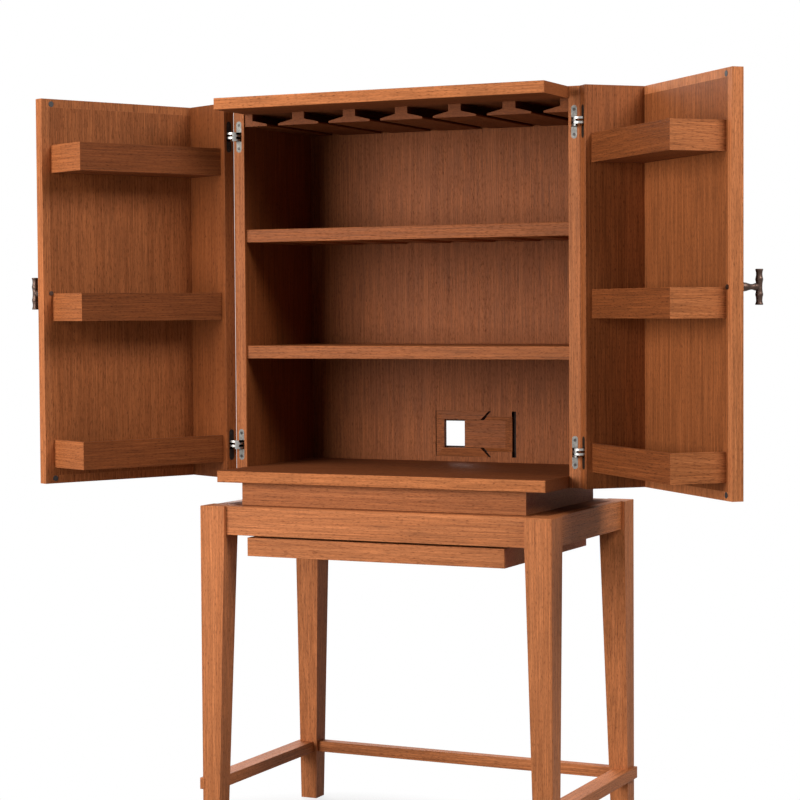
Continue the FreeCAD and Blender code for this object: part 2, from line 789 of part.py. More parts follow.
def make_shelf(label, top, grooved):
    """A fixed shelf housed in both sides; the upper one has stopped coves underneath."""
    high = case_low + top
    low = high - size("shelf_thick")
    reach = half_inside + size("housing_depth") - size("glue_gap")
    front = case_front + size("shelf_setback")
    body = board(label, (-reach, front, low), (reach, back_front, high))
    chamfer(body, edges_on(body, [("YMin", front), ("YMax", front), ("ZMin", high)],
                           [("YMin", front), ("YMax", front), ("ZMax", low)]), size("arris"))
    if grooved:
        pitch = half_inside * 2 / size("groove_count")
        chord = size("groove_width") / 2
        depth = size("groove_depth")
        radius = (chord * chord + depth * depth) / (depth * 2)
        sketch = new_sketch(body, label + "_cove", "XZ", front + size("groove_stop"))
        draw_circle(sketch, pitch / 2 - half_inside, low + depth - radius, radius)
        cove = cut_sketch(body, sketch, front + size("groove_stop"), back_front)
        pattern = body.newObject("PartDesign::LinearPattern", label + "_coves")
        pattern.Originals = [cove]
        pattern.Direction = (origin_plane(body, "X_Axis"), [""])
        bind(pattern, "Length", half_inside * 2 - pitch)
        bind(pattern, "Occurrences", size("groove_count"))
        body.Tip = pattern
    return keep(body, label)


def make_rail(label, middle):
    """A whole T rail of the stemware rack, hung from the case's top."""
    half_foot = rail_foot / 2
    half_stem = size("rail_stem") / 2
    low = ceiling_level - size("rail_height")
    outline = [
        (middle - half_foot, low),
        (middle + half_foot, low),
        (middle + half_foot, low + size("rail_tip")),
        (middle + half_stem, low + size("rail_root")),
        (middle + half_stem, ceiling_level),
        (middle - half_stem, ceiling_level),
        (middle - half_stem, low + size("rail_root")),
        (middle - half_foot, low + size("rail_tip")),
    ]
    body = new_body(label)
    add_prism(body, "XZ", outline, case_front + size("rack_setback"), back_front - size("rack_rear_gap"))
    tips = [[("XMin", middle + reach), ("XMax", middle + reach)] for reach in (-half_foot, half_foot)]
    chamfer(body, edges_on(body, *tips), size("rail_chamfer"))
    return keep(body, label)


def make_wall_rail(label, across):
    """A half rail against a case side; across is -1 on the left and +1 on the right."""
    low = ceiling_level - size("rail_height")
    wall = across * half_inside
    stem = across * (half_inside - size("wall_rail_stem"))
    tip = across * (half_inside - size("wall_rail_foot"))
    outline = [
        (wall, low),
        (tip, low),
        (tip, low + size("rail_tip")),
        (stem, low + size("rail_root")),
        (stem, ceiling_level),
        (wall, ceiling_level),
    ]
    body = new_body(label)
    add_prism(body, "XZ", outline, case_front + size("rack_setback"), back_front - size("rack_rear_gap"))
    chamfer(body, edges_on(body, [("XMin", tip), ("XMax", tip)]), size("rail_chamfer"))
    return keep(body, label)


# ---------------------------------------------------------------- the cable outlet
outlet_left = -size("outlet_side")
arm_tip = outlet_left + size("outlet_reach")
arm_root = arm_tip - size("outlet_slope")
outlet_middle = case_low + size("outlet_low") + size("outlet_height") / 2
half_outlet = size("outlet_height") / 2
half_throat = half_outlet - size("outlet_arm")
half_tongue = half_throat - size("tongue_play")
half_head = size("slide_head_height") / 2
slant = size("outlet_slope") / size("outlet_arm")
hole_left = outlet_left + size("outlet_web")
tongue_left = hole_left + size("outlet_hole_width")
shoulder_left = arm_root + size("outlet_notch")
head_left = shoulder_left + slant * (half_head - half_tongue)
head_right = head_left + size("slide_head_length")
slot_right = head_right + size("slide_travel") + size("slide_play")
recess_floor = back_front + size("outlet_recess")
plate_front = recess_floor - size("outlet_plate")


def make_back():
    """The back panel: the outlet's recess with its finger slot on the right, and the cable hole."""
    body = board("case_back", (-half_inside, back_front, case_low), (half_inside, half_depth, case_high))
    play = size("slide_play")
    gap = size("glue_gap")
    reach = half_outlet + gap
    corridor = half_head + play
    notch_tip = arm_tip + size("outlet_notch")
    notch_root = notch_tip - slant * (reach - corridor)
    lower_run = [
        (outlet_left - gap, outlet_middle - reach),
        (notch_tip, outlet_middle - reach),
        (notch_root, outlet_middle - corridor),
        (head_right, outlet_middle - corridor),
        (head_right, outlet_middle - reach),
        (slot_right, outlet_middle - reach),
    ]
    run = lower_run + [(across, 2 * outlet_middle - up) for across, up in reversed(lower_run)]
    cut_prism(body, "XZ", run, back_front, recess_floor)
    half_hole = size("outlet_hole_height") / 2
    cut_prism(body, "XZ",
              rectangle(hole_left, outlet_middle - half_hole, tongue_left + size("outlet_ledge"),
                        outlet_middle + half_hole),
              recess_floor, half_depth)
    return keep(body, "case_back")


def bevel_across(body, edge, inner, left, right):
    """Slope the plate's face down from a level inside it to its rim, above or below the middle."""
    beyond = edge + CUT_OVER * (edge - inner) / abs(edge.value - inner.value)
    wedge = [
        (plate_front, inner),
        (recess_floor - size("outlet_rim"), edge),
        (recess_floor - size("outlet_rim"), beyond),
        (plate_front - CUT_OVER, beyond),
        (plate_front - CUT_OVER, inner),
    ]
    cut_prism(body, "YZ", wedge, left, right)


def bevel_along(body, edge, inner, low, high):
    """The same slope towards the plate's left or right rim."""
    beyond = edge + CUT_OVER * (edge - inner) / abs(edge.value - inner.value)
    wedge = [
        (inner, plate_front),
        (edge, recess_floor - size("outlet_rim")),
        (beyond, recess_floor - size("outlet_rim")),
        (beyond, plate_front - CUT_OVER),
        (inner, plate_front - CUT_OVER),
    ]
    cut_prism(body, "XY", wedge, low, high)


def make_outlet_frame():
    """The fixed U plate: a web and two arms with slanted ends, sloping down to its rim."""
    body = new_body("outlet_frame")
    low = outlet_middle - half_outlet
    high = outlet_middle + half_outlet
    outline = [
        (outlet_left, low),
        (arm_tip, low),
        (arm_root, outlet_middle - half_throat),
        (hole_left, outlet_middle - half_throat),
        (hole_left, outlet_middle + half_throat),
        (arm_root, outlet_middle + half_throat),
        (arm_tip, high),
        (outlet_left, high),
    ]
    add_prism(body, "XZ", outline, plate_front, recess_floor)
    bevel_across(body, high, outlet_middle + half_throat, outlet_left, arm_tip)
    bevel_across(body, low, outlet_middle - half_throat, outlet_left, arm_tip)
    bevel_along(body, outlet_left, hole_left, low, high)
    return keep(body, "outlet_frame")


def make_outlet_slide():
    """The T plate that slides: a tongue between the arms and a head with a bevelled margin."""
    body = new_body("outlet_slide")
    outline = [
        (tongue_left, outlet_middle - half_tongue),
        (shoulder_left, outlet_middle - half_tongue),
        (head_left, outlet_middle - half_head),
        (head_right, outlet_middle - half_head),
        (head_right, outlet_middle + half_head),
        (head_left, outlet_middle + half_head),
        (shoulder_left, outlet_middle + half_tongue),
        (tongue_left, outlet_middle + half_tongue),
    ]
    add_prism(body, "XZ", outline, plate_front, recess_floor)
    bevel_across(body, outlet_middle + half_head, outlet_middle + half_tongue, tongue_left, head_right)
    bevel_across(body, outlet_middle - half_head, outlet_middle - half_tongue, tongue_left, head_right)
    bevel_along(body, head_right, head_right - size("slide_margin"),
                outlet_middle - half_head, outlet_middle + half_head)
    return keep(body, "outlet_slide")


# ---------------------------------------------------------------- the doors, drawn about their axis
def make_door(side):
    """One L-shaped door with its strips, trays, buttons, handle and hinge leaves."""
    name = SIDE_NAMES[side]
    turn = opening(side)
    members = [
        make_door_return(name, side),
        make_door_front(name, side),
        make_lippings(name, side),
        make_buttons(name, side),
        make_handle(name, side),
        make_handle_bolt(name, side),
    ]
    for place in ("top", "middle", "bottom"):
        members.append(make_tray(name, side, place))
    members.append(make_leaves("hinge_leaves_door_" + name, side, -1))
    for item in members:
        swing(item, side)
        bind(item, "Placement.Rotation.Angle", turn)
    door_links = make_links("hinge_links_door_" + name, side, 1, -side)
    swing(door_links, side)
    bind(door_links, "Placement.Rotation.Angle", turn * 2 / HINGE_STAGES)
    case_links = make_links("hinge_links_case_" + name, side, 0, side)
    swing(case_links, side)
    bind(case_links, "Placement.Rotation.Angle", turn / HINGE_STAGES)
    case_leaves = make_leaves("hinge_leaves_case_" + name, side, 1)
    bind(case_leaves, "Placement.Base.x", -side * hinge_across)
    bind(case_leaves, "Placement.Base.y", hinge_along)


def make_door_return(name, side):
    """The door's side panel, mitred to its front panel, with the hinge seats in its edge."""
    near = size("hinge_gap")
    far = near + size("door_thick")
    body = new_body("door_return_" + name)
    outline = [
        (side * near, -near),
        (side * far, -near),
        (side * far, -door_inner),
        (side * near, -size("door_depth")),
    ]
    add_prism(body, "XY", outline, case_low, case_high)
    for level in hinge_levels():
        cut_hinge_seat(body, side, level, -size("hinge_gap"), -1)
    inner_edge = [("YMin", -near), ("YMax", -near), ("XMin", side * far), ("XMax", side * far)]
    chamfer(body, edges_on(body, inner_edge), size("arris"))
    return keep(body, "door_side_" + name)


def field_edge():
    """Where the front panel ends and the strip along its free edge starts."""
    return free_edge - size("lipping_width")


def make_door_front(name, side):
    """The veneered front panel between the solid strips."""
    near = size("hinge_gap")
    far = near + size("door_thick")
    body = new_body("door_front_" + name)
    outline = [
        (side * near, -size("door_depth")),
        (side * far, -door_inner),
        (side * field_edge(), -door_inner),
        (side * field_edge(), -size("door_depth")),
    ]
    add_prism(body, "XY", outline, case_low + size("lipping_width"), case_high - size("lipping_width"))
    bolt = side * (free_edge - size("handle_side"))
    middle = case_low + size("handle_low") + size("handle_length") / 2
    cut_hole(body, "XZ", bolt, middle, size("bolt_size") / 2 + size("plate_fit"),
             -size("door_depth"), -door_inner)
    return keep(body, "door_front_" + name)


def make_lippings(name, side):
    """Solid strips along the free edge, the top and the bottom of the front panel."""
    near = size("hinge_gap")
    far = near + size("door_thick")
    strips = []
    body = new_body("strip_upright_" + name)
    faces = ordered(side * field_edge(), side * free_edge)
    add_prism(body, "XY", rectangle(faces[0], -size("door_depth"), faces[1], -door_inner),
              case_low, case_high)
    bolt = side * (free_edge - size("handle_side"))
    middle = case_low + size("handle_low") + size("handle_length") / 2
    cut_hole(body, "XZ", bolt, middle, size("bolt_size") / 2 + size("plate_fit"),
             -size("door_depth"), -door_inner)
    outer = side * free_edge
    upright = [("XMin", outer), ("XMax", outer)]
    fillet(body, edges_on(body, upright + [("YMin", -size("door_depth")), ("YMax", -size("door_depth"))]),
           size("edge_round"))
    fillet(body, edges_on(body, upright + [("YMin", -door_inner), ("YMax", -door_inner)]), size("arris"))
    strips.append(body)
    for place, low in (("bottom", case_low), ("top", case_high - size("lipping_width"))):
        body = new_body("strip_%s_%s" % (place, name))
        outline = [
            (side * near, -size("door_depth")),
            (side * far, -door_inner),
            (side * field_edge(), -door_inner),
            (side * field_edge(), -size("door_depth")),
        ]
        add_prism(body, "XY", outline, low, low + size("lipping_width"))
        across = side * (free_edge - size("button_side"))
        end = case_low + size("button_end") if place == "bottom" else case_high - size("button_end")
        cut_hole(body, "XZ", across, end, size("button_size") / 2 + size("plate_fit"),
                 -door_inner - size("button_deep"), -door_inner)
        strips.append(body)
    return keep(group("door_lippings_" + name, strips), "door_lippings_" + name)


def disc(name, across, up, radius, low, high):
    """A short round bar along Y."""
    cylinder = doc.addObject("Part::Cylinder", name)
    bind(cylinder, "Radius", radius)
    bind(cylinder, "Height", as_size(high) - low)
    cylinder.Placement = FreeCAD.Placement(Vector(0, 0, 0), FreeCAD.Rotation(Vector(1, 0, 0), -90))
    bind(cylinder, "Placement.Base.x", across)
    bind(cylinder, "Placement.Base.y", low)
    bind(cylinder, "Placement.Base.z", up)
    return cylinder


def make_buttons(name, side):
    """The round catch plates let into the top and bottom strips."""
    across = side * (free_edge - size("button_side"))
    buttons = []
    for place, end in (("bottom", case_low + size("button_end")), ("top", case_high - size("button_end"))):
        buttons.append(disc("button_%s_%s" % (place, name), across, end, size("button_size") / 2,
                            -door_inner - size("button_deep"), size("button_proud") - door_inner))
    return keep(group("door_buttons_" + name, buttons), "door_buttons_" + name)


def make_handle(name, side):
    """A turned T handle: an upright bar with flared ends on a waisted stem with a round foot."""
    across = side * (free_edge - size("handle_side"))
    low = case_low + size("handle_low")
    middle = low + size("handle_length") / 2
    bar_along = -size("door_depth") - size("handle_reach")
    half = size("handle_length") / 2
    bar_radius = size("handle_thick") / 2
    flare = size("handle_flare") / 2
    upper_half = [
        (bar_radius, half - size("handle_flare_length")),
        (flare, half),
        (0, half),
    ]
    profile = [(radius, -up) for radius, up in reversed(upper_half)] + upper_half
    body = new_body("handle_" + name)
    sketch = new_sketch(body, "handle_profile_" + name, "XZ", bar_along)
    draw_polygon(sketch, [(across + radius, middle + up) for radius, up in profile])
    turned = body.newObject("PartDesign::Revolution", "handle_bar_" + name)
    turned.Profile = sketch
    turned.ReferenceAxis = (sketch, ["Edge%d" % len(profile)])
    turned.Angle = 360
    rose = size("stem_rose") / 2
    neck = size("stem_thick") / 2
    door_face = -size("door_depth")
    stem_profile = [
        (0, door_face),
        (rose, door_face),
        (rose, door_face - size("rose_thick")),
        (neck, door_face - size("waist_reach")),
        (bar_radius, bar_along + size("stem_root")),
        (bar_radius, bar_along),
        (0, bar_along),
    ]
    doc.recompute()
    sketch = new_sketch(body, "handle_stem_profile_" + name, "XY", middle)
    draw_polygon(sketch, [(across + radius, along) for radius, along in stem_profile])
    stem = body.newObject("PartDesign::Revolution", "handle_stem_" + name)
    stem.Profile = sketch
    stem.ReferenceAxis = (sketch, ["Edge%d" % len(stem_profile)])
    stem.Angle = 360
    cut_hole(body, "XZ", across, middle, size("bolt_size") / 2,
             door_face - size("bolt_bite"), door_face)
    return keep(body, "handle_" + name)


def make_handle_bolt(name, side):
    """The bolt that holds the handle from inside the door."""
    across = side * (free_edge - size("handle_side"))
    middle = case_low + size("handle_low") + size("handle_length") / 2
    shank = disc("bolt_shank_" + name, across, middle, size("bolt_size") / 2,
                 -size("door_depth") - size("bolt_bite"), -door_inner)
    head = disc("bolt_head_" + name, across, middle, size("bolt_head") / 2,
                -door_inner, size("bolt_head_height") - door_inner)
    bolt = doc.addObject("Part::MultiFuse", "handle_bolt_fused_" + name)
    bolt.Shapes = [shank, head]
    return keep(bolt, "handle_bolt_" + name)


def make_tray(name, side, place):
    """An open tray on the door: a long board, an end board and a bottom."""
    low = case_low + size("tray_%s_low" % place)
    high = low + size("tray_height")
    near = size("hinge_gap") + size("door_thick")
    end = free_edge - size("tray_gap")
    wall = size("tray_board")
    front = size("tray_depth") - door_inner
    label = "tray_%s_%s" % (name, place)
    mitre = [
        (side * near, front),
        (side * end, front),
        (side * (end - wall), front - wall),
        (side * near, front - wall),
    ]
    long_board = new_body(label + "_long_board")
    add_prism(long_board, "XY", mitre, low, high)
    end_outline = [
        (side * end, front),
        (side * end, -door_inner),
        (side * (end - wall), -door_inner),
        (side * (end - wall), front - wall),
    ]
    end_board = new_body(label + "_end_board")
    add_prism(end_board, "XY", end_outline, low, high)
    faces = ordered(side * near, side * (end - wall))
    bottom = board(label + "_bottom", (faces[0], -door_inner, low),
                   (faces[1], front - wall, low + size("tray_bottom")))
    return keep(group(label, [long_board, end_board, bottom]), label)


# ---------------------------------------------------------------- concealed hinges
def make_leaves(label, side, depth_sign):
    """Both hinges' plates and bodies on one panel, open where the links turn in."""
    members = []
    face = size("hinge_gap") * depth_sign
    middle = side * panel_middle
    half_width = size("plate_width") / 2
    half_window = size("window_height") / 2
    half_housing = size("housing_length") / 2
    plate_floor = face + depth_sign * size("plate_thick")
    housing_floor = face + depth_sign * size("housing_reach")
    window_floor = housing_floor - depth_sign * size("hinge_back")
    window_side = half_width + size("plate_fit")
    for number, level in enumerate(hinge_levels(), start=1):
        body = new_body("%s_leaf_%d" % (label, number))
        ends = ordered(face, plate_floor)
        add_prism(body, "XZ", stadium(middle, level, half_width, size("plate_length") / 2),
                  ends[0], ends[1])
        ends = ordered(plate_floor, housing_floor)
        add_prism(body, "XZ",
                  rectangle(middle - half_width, level - half_housing,
                            middle + half_width, level + half_housing),
                  ends[0], ends[1])
        ends = ordered(face, window_floor)
        cut_prism(body, "XZ",
                  rectangle(middle - window_side, level - half_window,
                            middle + window_side, level + half_window),
                  ends[0], ends[1])
        members.append(body)
    return keep(group(label, members), label)


def make_links(label, side, first_level, own_turn):
    """Curved hinge links about the axis: two levels of each hinge, the other two left free.

    own_turn is +1 where a link's own leaf lies counter-clockwise of its middle, seen from above.
    """
    links = []
    for number, level in enumerate(hinge_levels(), start=1):
        bottom = level - size("link_level") * 2
        for step in (first_level, first_level + 2):
            low = bottom + size("link_level") * step + size("link_gap") / 2
            links.append(make_link("%s_%d_%d" % (label, number, step), side, low, own_turn))
    return keep(group(label, links), label)


def make_link(name, side, low, own_turn):
    """One link: a sector of a ring about the hinge axis, longer towards its own leaf."""
    facing = 0 if side == LEFT else 180
    start = facing - size("link_far_angle" if own_turn > 0 else "link_own_angle")
    cylinders = []
    for part, radius in (("outer", size("link_outer")), ("inner", size("link_inner"))):
        cylinder = doc.addObject("Part::Cylinder", "%s_%s" % (name, part))
        bind(cylinder, "Radius", radius)
        bind(cylinder, "Height", size("link_level") - size("link_gap"))
        bind(cylinder, "Angle", size("link_own_angle") + size("link_far_angle"))
        cylinder.Placement = FreeCAD.Placement(Vector(0, 0, 0), FreeCAD.Rotation(Vector(0, 0, 1), 1))
        bind(cylinder, "Placement.Base.z", low)
        bind(cylinder, "Placement.Rotation.Angle", start)
        cylinders.append(cylinder)
    link = doc.addObject("Part::Cut", name)
    link.Base = cylinders[0]
    link.Tool = cylinders[1]
    return link


# ---------------------------------------------------------------- assembly
for along, row_name in ((-1, "front"), (1, "rear")):
    for across, side_name in ((-1, "left"), (1, "right")):
        make_leg("leg_%s_%s" % (row_name, side_name), across, along)
make_cross_apron("apron_front", -1)
make_cross_apron("apron_rear", 1)
make_side_apron("apron_left", -1)
make_side_apron("apron_right", 1)
make_stand_top()
make_side_stretcher("stretcher_left", -1)
make_side_stretcher("stretcher_right", 1)
make_rear_stretcher()
make_plinth()
make_runners()
make_slab()
make_cleats()
make_case_side("case_side_left", LEFT)
make_case_side("case_side_right", RIGHT)
make_case_board("case_top", ceiling_level, case_high)
make_case_board("case_bottom", case_low, floor_level)
make_back()
make_shelf("shelf_upper", size("upper_shelf_top"), True)
make_shelf("shelf_lower", size("lower_shelf_top"), False)
for index in range(int(round(size("rail_count").value))):
    make_rail("rack_rail_%d" % (index + 1),
              rail_pitch * (index - (size("rail_count") - 1) / 2))
make_wall_rail("rack_rail_left", -1)
make_wall_rail("rack_rail_right", 1)
make_outlet_frame()
make_outlet_slide()
make_door(LEFT)
make_door(RIGHT)


# ---------------------------------------------------------------- checks and export
def write_parts():
    doc.recompute()
    for item in doc.Objects:
        if "Invalid" in item.State or "Error" in item.State:
            raise RuntimeError("%s (%s) did not build: %s" % (item.Name, item.Label, item.State))
    for item in NODES:
        if item.Shape.isNull() or not item.Shape.isValid() or not item.Shape.Solids:
            raise RuntimeError(item.Label + " has no sound shape")
    os.makedirs("parts", exist_ok=True)
    for item in NODES:
        item.Shape.exportStep("parts/%s.step" % item.Label)
    print("%d nodes, %d solids" % (len(NODES), sum(len(item.Shape.Solids) for item in NODES)))


write_parts()
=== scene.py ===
"""The looks of the bar cabinet: wood, metal, turned handles, hinge screws, studio and camera.

Metres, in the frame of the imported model: +X right, +Y back, +Z up, origin on the floor.
"""

import itertools
import json
import math

import bmesh
import bpy
from mathutils import Matrix, Vector


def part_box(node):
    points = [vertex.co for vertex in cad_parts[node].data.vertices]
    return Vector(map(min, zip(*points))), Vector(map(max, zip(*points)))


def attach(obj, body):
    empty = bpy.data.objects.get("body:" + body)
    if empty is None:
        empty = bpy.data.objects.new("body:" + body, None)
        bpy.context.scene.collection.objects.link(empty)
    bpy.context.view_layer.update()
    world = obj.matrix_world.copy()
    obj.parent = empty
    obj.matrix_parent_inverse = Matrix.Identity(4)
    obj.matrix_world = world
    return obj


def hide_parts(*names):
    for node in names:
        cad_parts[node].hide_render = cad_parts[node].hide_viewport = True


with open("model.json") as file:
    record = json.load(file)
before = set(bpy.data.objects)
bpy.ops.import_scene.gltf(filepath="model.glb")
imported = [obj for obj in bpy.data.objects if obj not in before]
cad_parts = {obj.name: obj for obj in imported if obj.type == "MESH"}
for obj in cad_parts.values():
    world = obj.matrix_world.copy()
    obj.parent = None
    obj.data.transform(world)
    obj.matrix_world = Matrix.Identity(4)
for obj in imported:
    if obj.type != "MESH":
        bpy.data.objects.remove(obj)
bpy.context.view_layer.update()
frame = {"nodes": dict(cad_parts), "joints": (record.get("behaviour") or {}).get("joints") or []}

MM = 0.001
scene = bpy.context.scene

# ---------------------------------------------------------------- places read from the frame
LEFT = 1
RIGHT = -1
SIDE_NAMES = {LEFT: "left", RIGHT: "right"}
X_AXIS = (1, 0, 0)
Y_AXIS = (0, 1, 0)
Z_AXIS = (0, 0, 1)
joints = {joint["name"]: joint for joint in frame["joints"]}


def hinge_foot(side):
    """The point where a door's hinge axis meets the floor."""
    foot = Vector(joints[SIDE_NAMES[side] + "_door_hinge"]["pos_m"])
    foot.z = 0
    return foot


def door_turn(side):
    """How far a door stands open, as a turn about +Z: the closed door is one limit of its hinge."""
    low, high = joints[SIDE_NAMES[side] + "_door_hinge"]["range_deg"]
    return math.radians(-high if side == LEFT else -low)


def case_frame(side):
    """Places a point that is given about a door's hinge axis (inward, along, up)."""
    return Matrix.Translation(hinge_foot(side)) @ Matrix.Diagonal((side, 1, 1, 1))


def door_frame(side):
    """Places a point that is given for the closed door about its axis (inward, along, up)."""
    turn = Matrix.Rotation(door_turn(side), 4, "Z")
    return Matrix.Translation(hinge_foot(side)) @ turn @ Matrix.Diagonal((side, 1, 1, 1))


def corners_in_door(side, node):
    """A node's corners, in the closed door's own frame."""
    into_door = door_frame(side).inverted()
    return [into_door @ vertex.co for vertex in frame["nodes"][node].data.vertices]


def add_object(name, data):
    made = bpy.data.objects.new(name, data)
    scene.collection.objects.link(made)
    return made


# ---------------------------------------------------------------- camera
SENSOR_WIDTH = 36  # mm
LENS = 98.07  # mm
CAMERA_PLACE = Vector((2.0400, -4.3685, 1.1682))
YAW = math.radians(25.516)
PITCH = math.radians(2.385)
ROLL = math.radians(-0.358)


def make_camera():
    data = bpy.data.cameras.new("camera")
    data.sensor_width = SENSOR_WIDTH
    data.lens = LENS
    camera = add_object("camera", data)
    ahead = Vector((-math.sin(YAW) * math.cos(PITCH), math.cos(YAW) * math.cos(PITCH), -math.sin(PITCH)))
    right = Vector((math.cos(YAW), math.sin(YAW), 0))
    up = right.cross(ahead)
    rolled_right = right * math.cos(ROLL) + up * math.sin(ROLL)
    rolled_up = up * math.cos(ROLL) - right * math.sin(ROLL)
    turn = Matrix((rolled_right, rolled_up, -ahead)).transposed()
    camera.matrix_world = Matrix.Translation(CAMERA_PLACE) @ turn.to_4x4()
    scene.camera = camera


# ---------------------------------------------------------------- node helpers
BEVEL_SAMPLES = 3
FLAT_COSINE = 0.985  # of the angle up to which a face still counts as flat


class Graph:
    """A short way to write a node tree."""

    def __init__(self, tree):
        self.tree = tree
        tree.nodes.clear()

    def node(self, kind, inputs=None, **settings):
        made = self.tree.nodes.new(kind)
        for key, value in settings.items():
            setattr(made, key, value)
        for key, value in (inputs or {}).items():
            self.feed(made.inputs[key], value)
        return made

    def feed(self, socket, value):
        if isinstance(value, bpy.types.NodeSocket):
            self.tree.links.new(value, socket)
        else:
            socket.default_value = value

    def math(self, operation, first, second=0.0, third=0.0, clamp=False):
        made = self.node("ShaderNodeMath", {0: first, 1: second, 2: third}, operation=operation)
        made.use_clamp = clamp
        return made.outputs[0]

    def vector(self, operation, first, second=(0, 0, 0)):
        made = self.node("ShaderNodeVectorMath", {0: first, 1: second}, operation=operation)
        return made.outputs["Value" if operation in ("LENGTH", "DOT_PRODUCT") else "Vector"]

    def mix(self, factor, first, second, blend="MIX"):
        """Mixes two colours, which are a Mix node's sockets 6 and 7."""
        made = self.node("ShaderNodeMix", {0: factor, 6: first, 7: second}, data_type="RGBA",
                         blend_type=blend)
        return made.outputs[2]

    def mix_vectors(self, factor, first, second):
        """Mixes two vectors, which are a Mix node's sockets 4 and 5."""
        made = self.node("ShaderNodeMix", {0: factor, 4: first, 5: second}, data_type="VECTOR")
        return made.outputs[1]

    def noise(self, vector, scale, detail, roughness, output="Fac"):
        made = self.node("ShaderNodeTexNoise", {"Vector": vector, "Scale": scale, "Detail": detail,
                                                "Roughness": roughness})
        return made.outputs[output]

    def span(self, value, low, high, out_low=0.0, out_high=1.0):
        """Stretches low..high to out_low..out_high, and holds it there."""
        made = self.node("ShaderNodeMapRange", {"Value": value, "From Min": low, "From Max": high,
                                                "To Min": out_low, "To Max": out_high})
        return made.outputs["Result"]

    def edge(self, radius, full):
        """0 on a flat face, and 1 where a rounded normal leaves the face's own to a cosine of full."""
        rounded = self.node("ShaderNodeBevel", {"Radius": radius}, samples=BEVEL_SAMPLES).outputs[0]
        own = self.node("ShaderNodeNewGeometry").outputs["Normal"]
        return self.span(self.vector("DOT_PRODUCT", rounded, own), FLAT_COSINE, full)

    def principled(self, **inputs):
        """Ends the tree with a Principled shader."""
        shader = self.node("ShaderNodeBsdfPrincipled",
                           {key.replace("_", " "): value for key, value in inputs.items()})
        self.surface("ShaderNodeOutputMaterial", shader)

    def surface(self, kind, shader):
        """Ends the tree with an output node of a kind."""
        self.node(kind, {"Surface": shader.outputs[0]})


def new_material(name):
    material = bpy.data.materials.new(name)
    material.use_nodes = True
    return material, Graph(material.node_tree)


# ---------------------------------------------------------------- wood
PALE_WOOD = (0.520, 0.178, 0.062)
BROWN_WOOD = (0.345, 0.107, 0.033)
PORE_WOOD = (0.085, 0.020, 0.007)
RUBBED_WOOD = (0.640, 0.250, 0.110)
RECESS_PAINTED_SHADE = (0.012, 0.006, 0.004, 1)  # painted shade: a near-black colour for the walls of cuts, for the shade inside them
STAIN_POWERS = (1.0, 1.24, 1.58)  # how strongly red, green and blue follow a board's tone

BOARD_STEPS = (0.37, 0.59, 1.31)  # how far one seed's place in the tree is from the next, in metres
RING_STEP = 7.3  # how far one seed's rings are from the next
SWAY = 0.022  # how far a board wanders off the tree's line, in metres
RING_NOISE = {"Scale": 1.0, "Detail": 2.0, "Roughness": 0.6}

# noise along a board: its stretch along the grain (smaller is longer), scale per metre, detail, roughness
SWAY_NOISE = (0.22, 7.0, 2.0, 0.55)
FIBRE_NOISE = (0.022, 500, 4.0, 0.72)
STREAK_NOISE = (0.014, 170, 4.0, 0.70)
CLOUD_NOISE = (0.3, 11, 2.0, 0.5)
PORE_NOISE = (0.110, 900, 1.0, 0.5)

# spans of a noise and what they are stretched to, and shares of a colour
DARK_RINGS = (0.36, 0.66)
DARK_RING_SHARE = 0.55
STREAK_SHARE = (0.36, 0.66, 0.0, 0.85)
FIBRE_SHADE = (0.34, 0.66, 0.66, 1.30)
CLOUD_SHADE = (0.3, 0.7, 0.92, 1.07)
PORES = (0.56, 0.66)
PORES_BY_RING = (0.0, 1.0, 0.40, 1.0)  # pores crowd in the dark part of each ring
PORE_SHARE = 0.68

WOOD_EDGE = 1.6 * MM
WOOD_EDGE_COSINE = 0.80
EDGE_WEAR = (0.3, 0.7, 0.08, 0.30)
RECESS_INSET = 0.6 * MM  # how far inside a board's box the walls of its cuts start
RECESS_SHADE_SHARE = 0.93  # how much of the painted shade's colour shows there

WOOD_ROUGHNESS = 0.54
FLAT_ROUGHNESS = 0.78  # flat tops are duller, so that they don't mirror the white surroundings
FIBRE_ROUGHNESS = (-0.05, 0.07)
PORE_ROUGHNESS = 0.22
FIBRE_HEIGHT = 0.45  # as a share of a pore's depth
WOOD_BUMP = {"Strength": 0.35, "Distance": 0.35 * MM}
WOOD_IOR = 1.30
WOOD_SPECULAR = 0.28


def texture_axes(grain, tree, turn):
    """A turn that brings the grain to the texture's Z and the direction to the tree's heart to its X."""
    along = Vector(grain).normalized()
    heart = Vector(tree).normalized()
    across = along.cross(heart)
    rows = Matrix((heart, across, along)).to_4x4()
    return (rows @ Matrix.Rotation(-turn, 4, "Z")).to_euler("XYZ")


def shaded(colour, tone):
    """A wood colour under a finish of some depth: a deeper one takes more of the green and blue."""
    return (*(part * tone ** power for part, power in zip(colour, STAIN_POWERS)), 1)


def grain_noise(graph, board, stretch, scale, detail, roughness, output="Fac"):
    """Noise that is drawn out along the grain."""
    return graph.noise(graph.vector("MULTIPLY", board, (1, 1, stretch)), scale, detail, roughness, output)


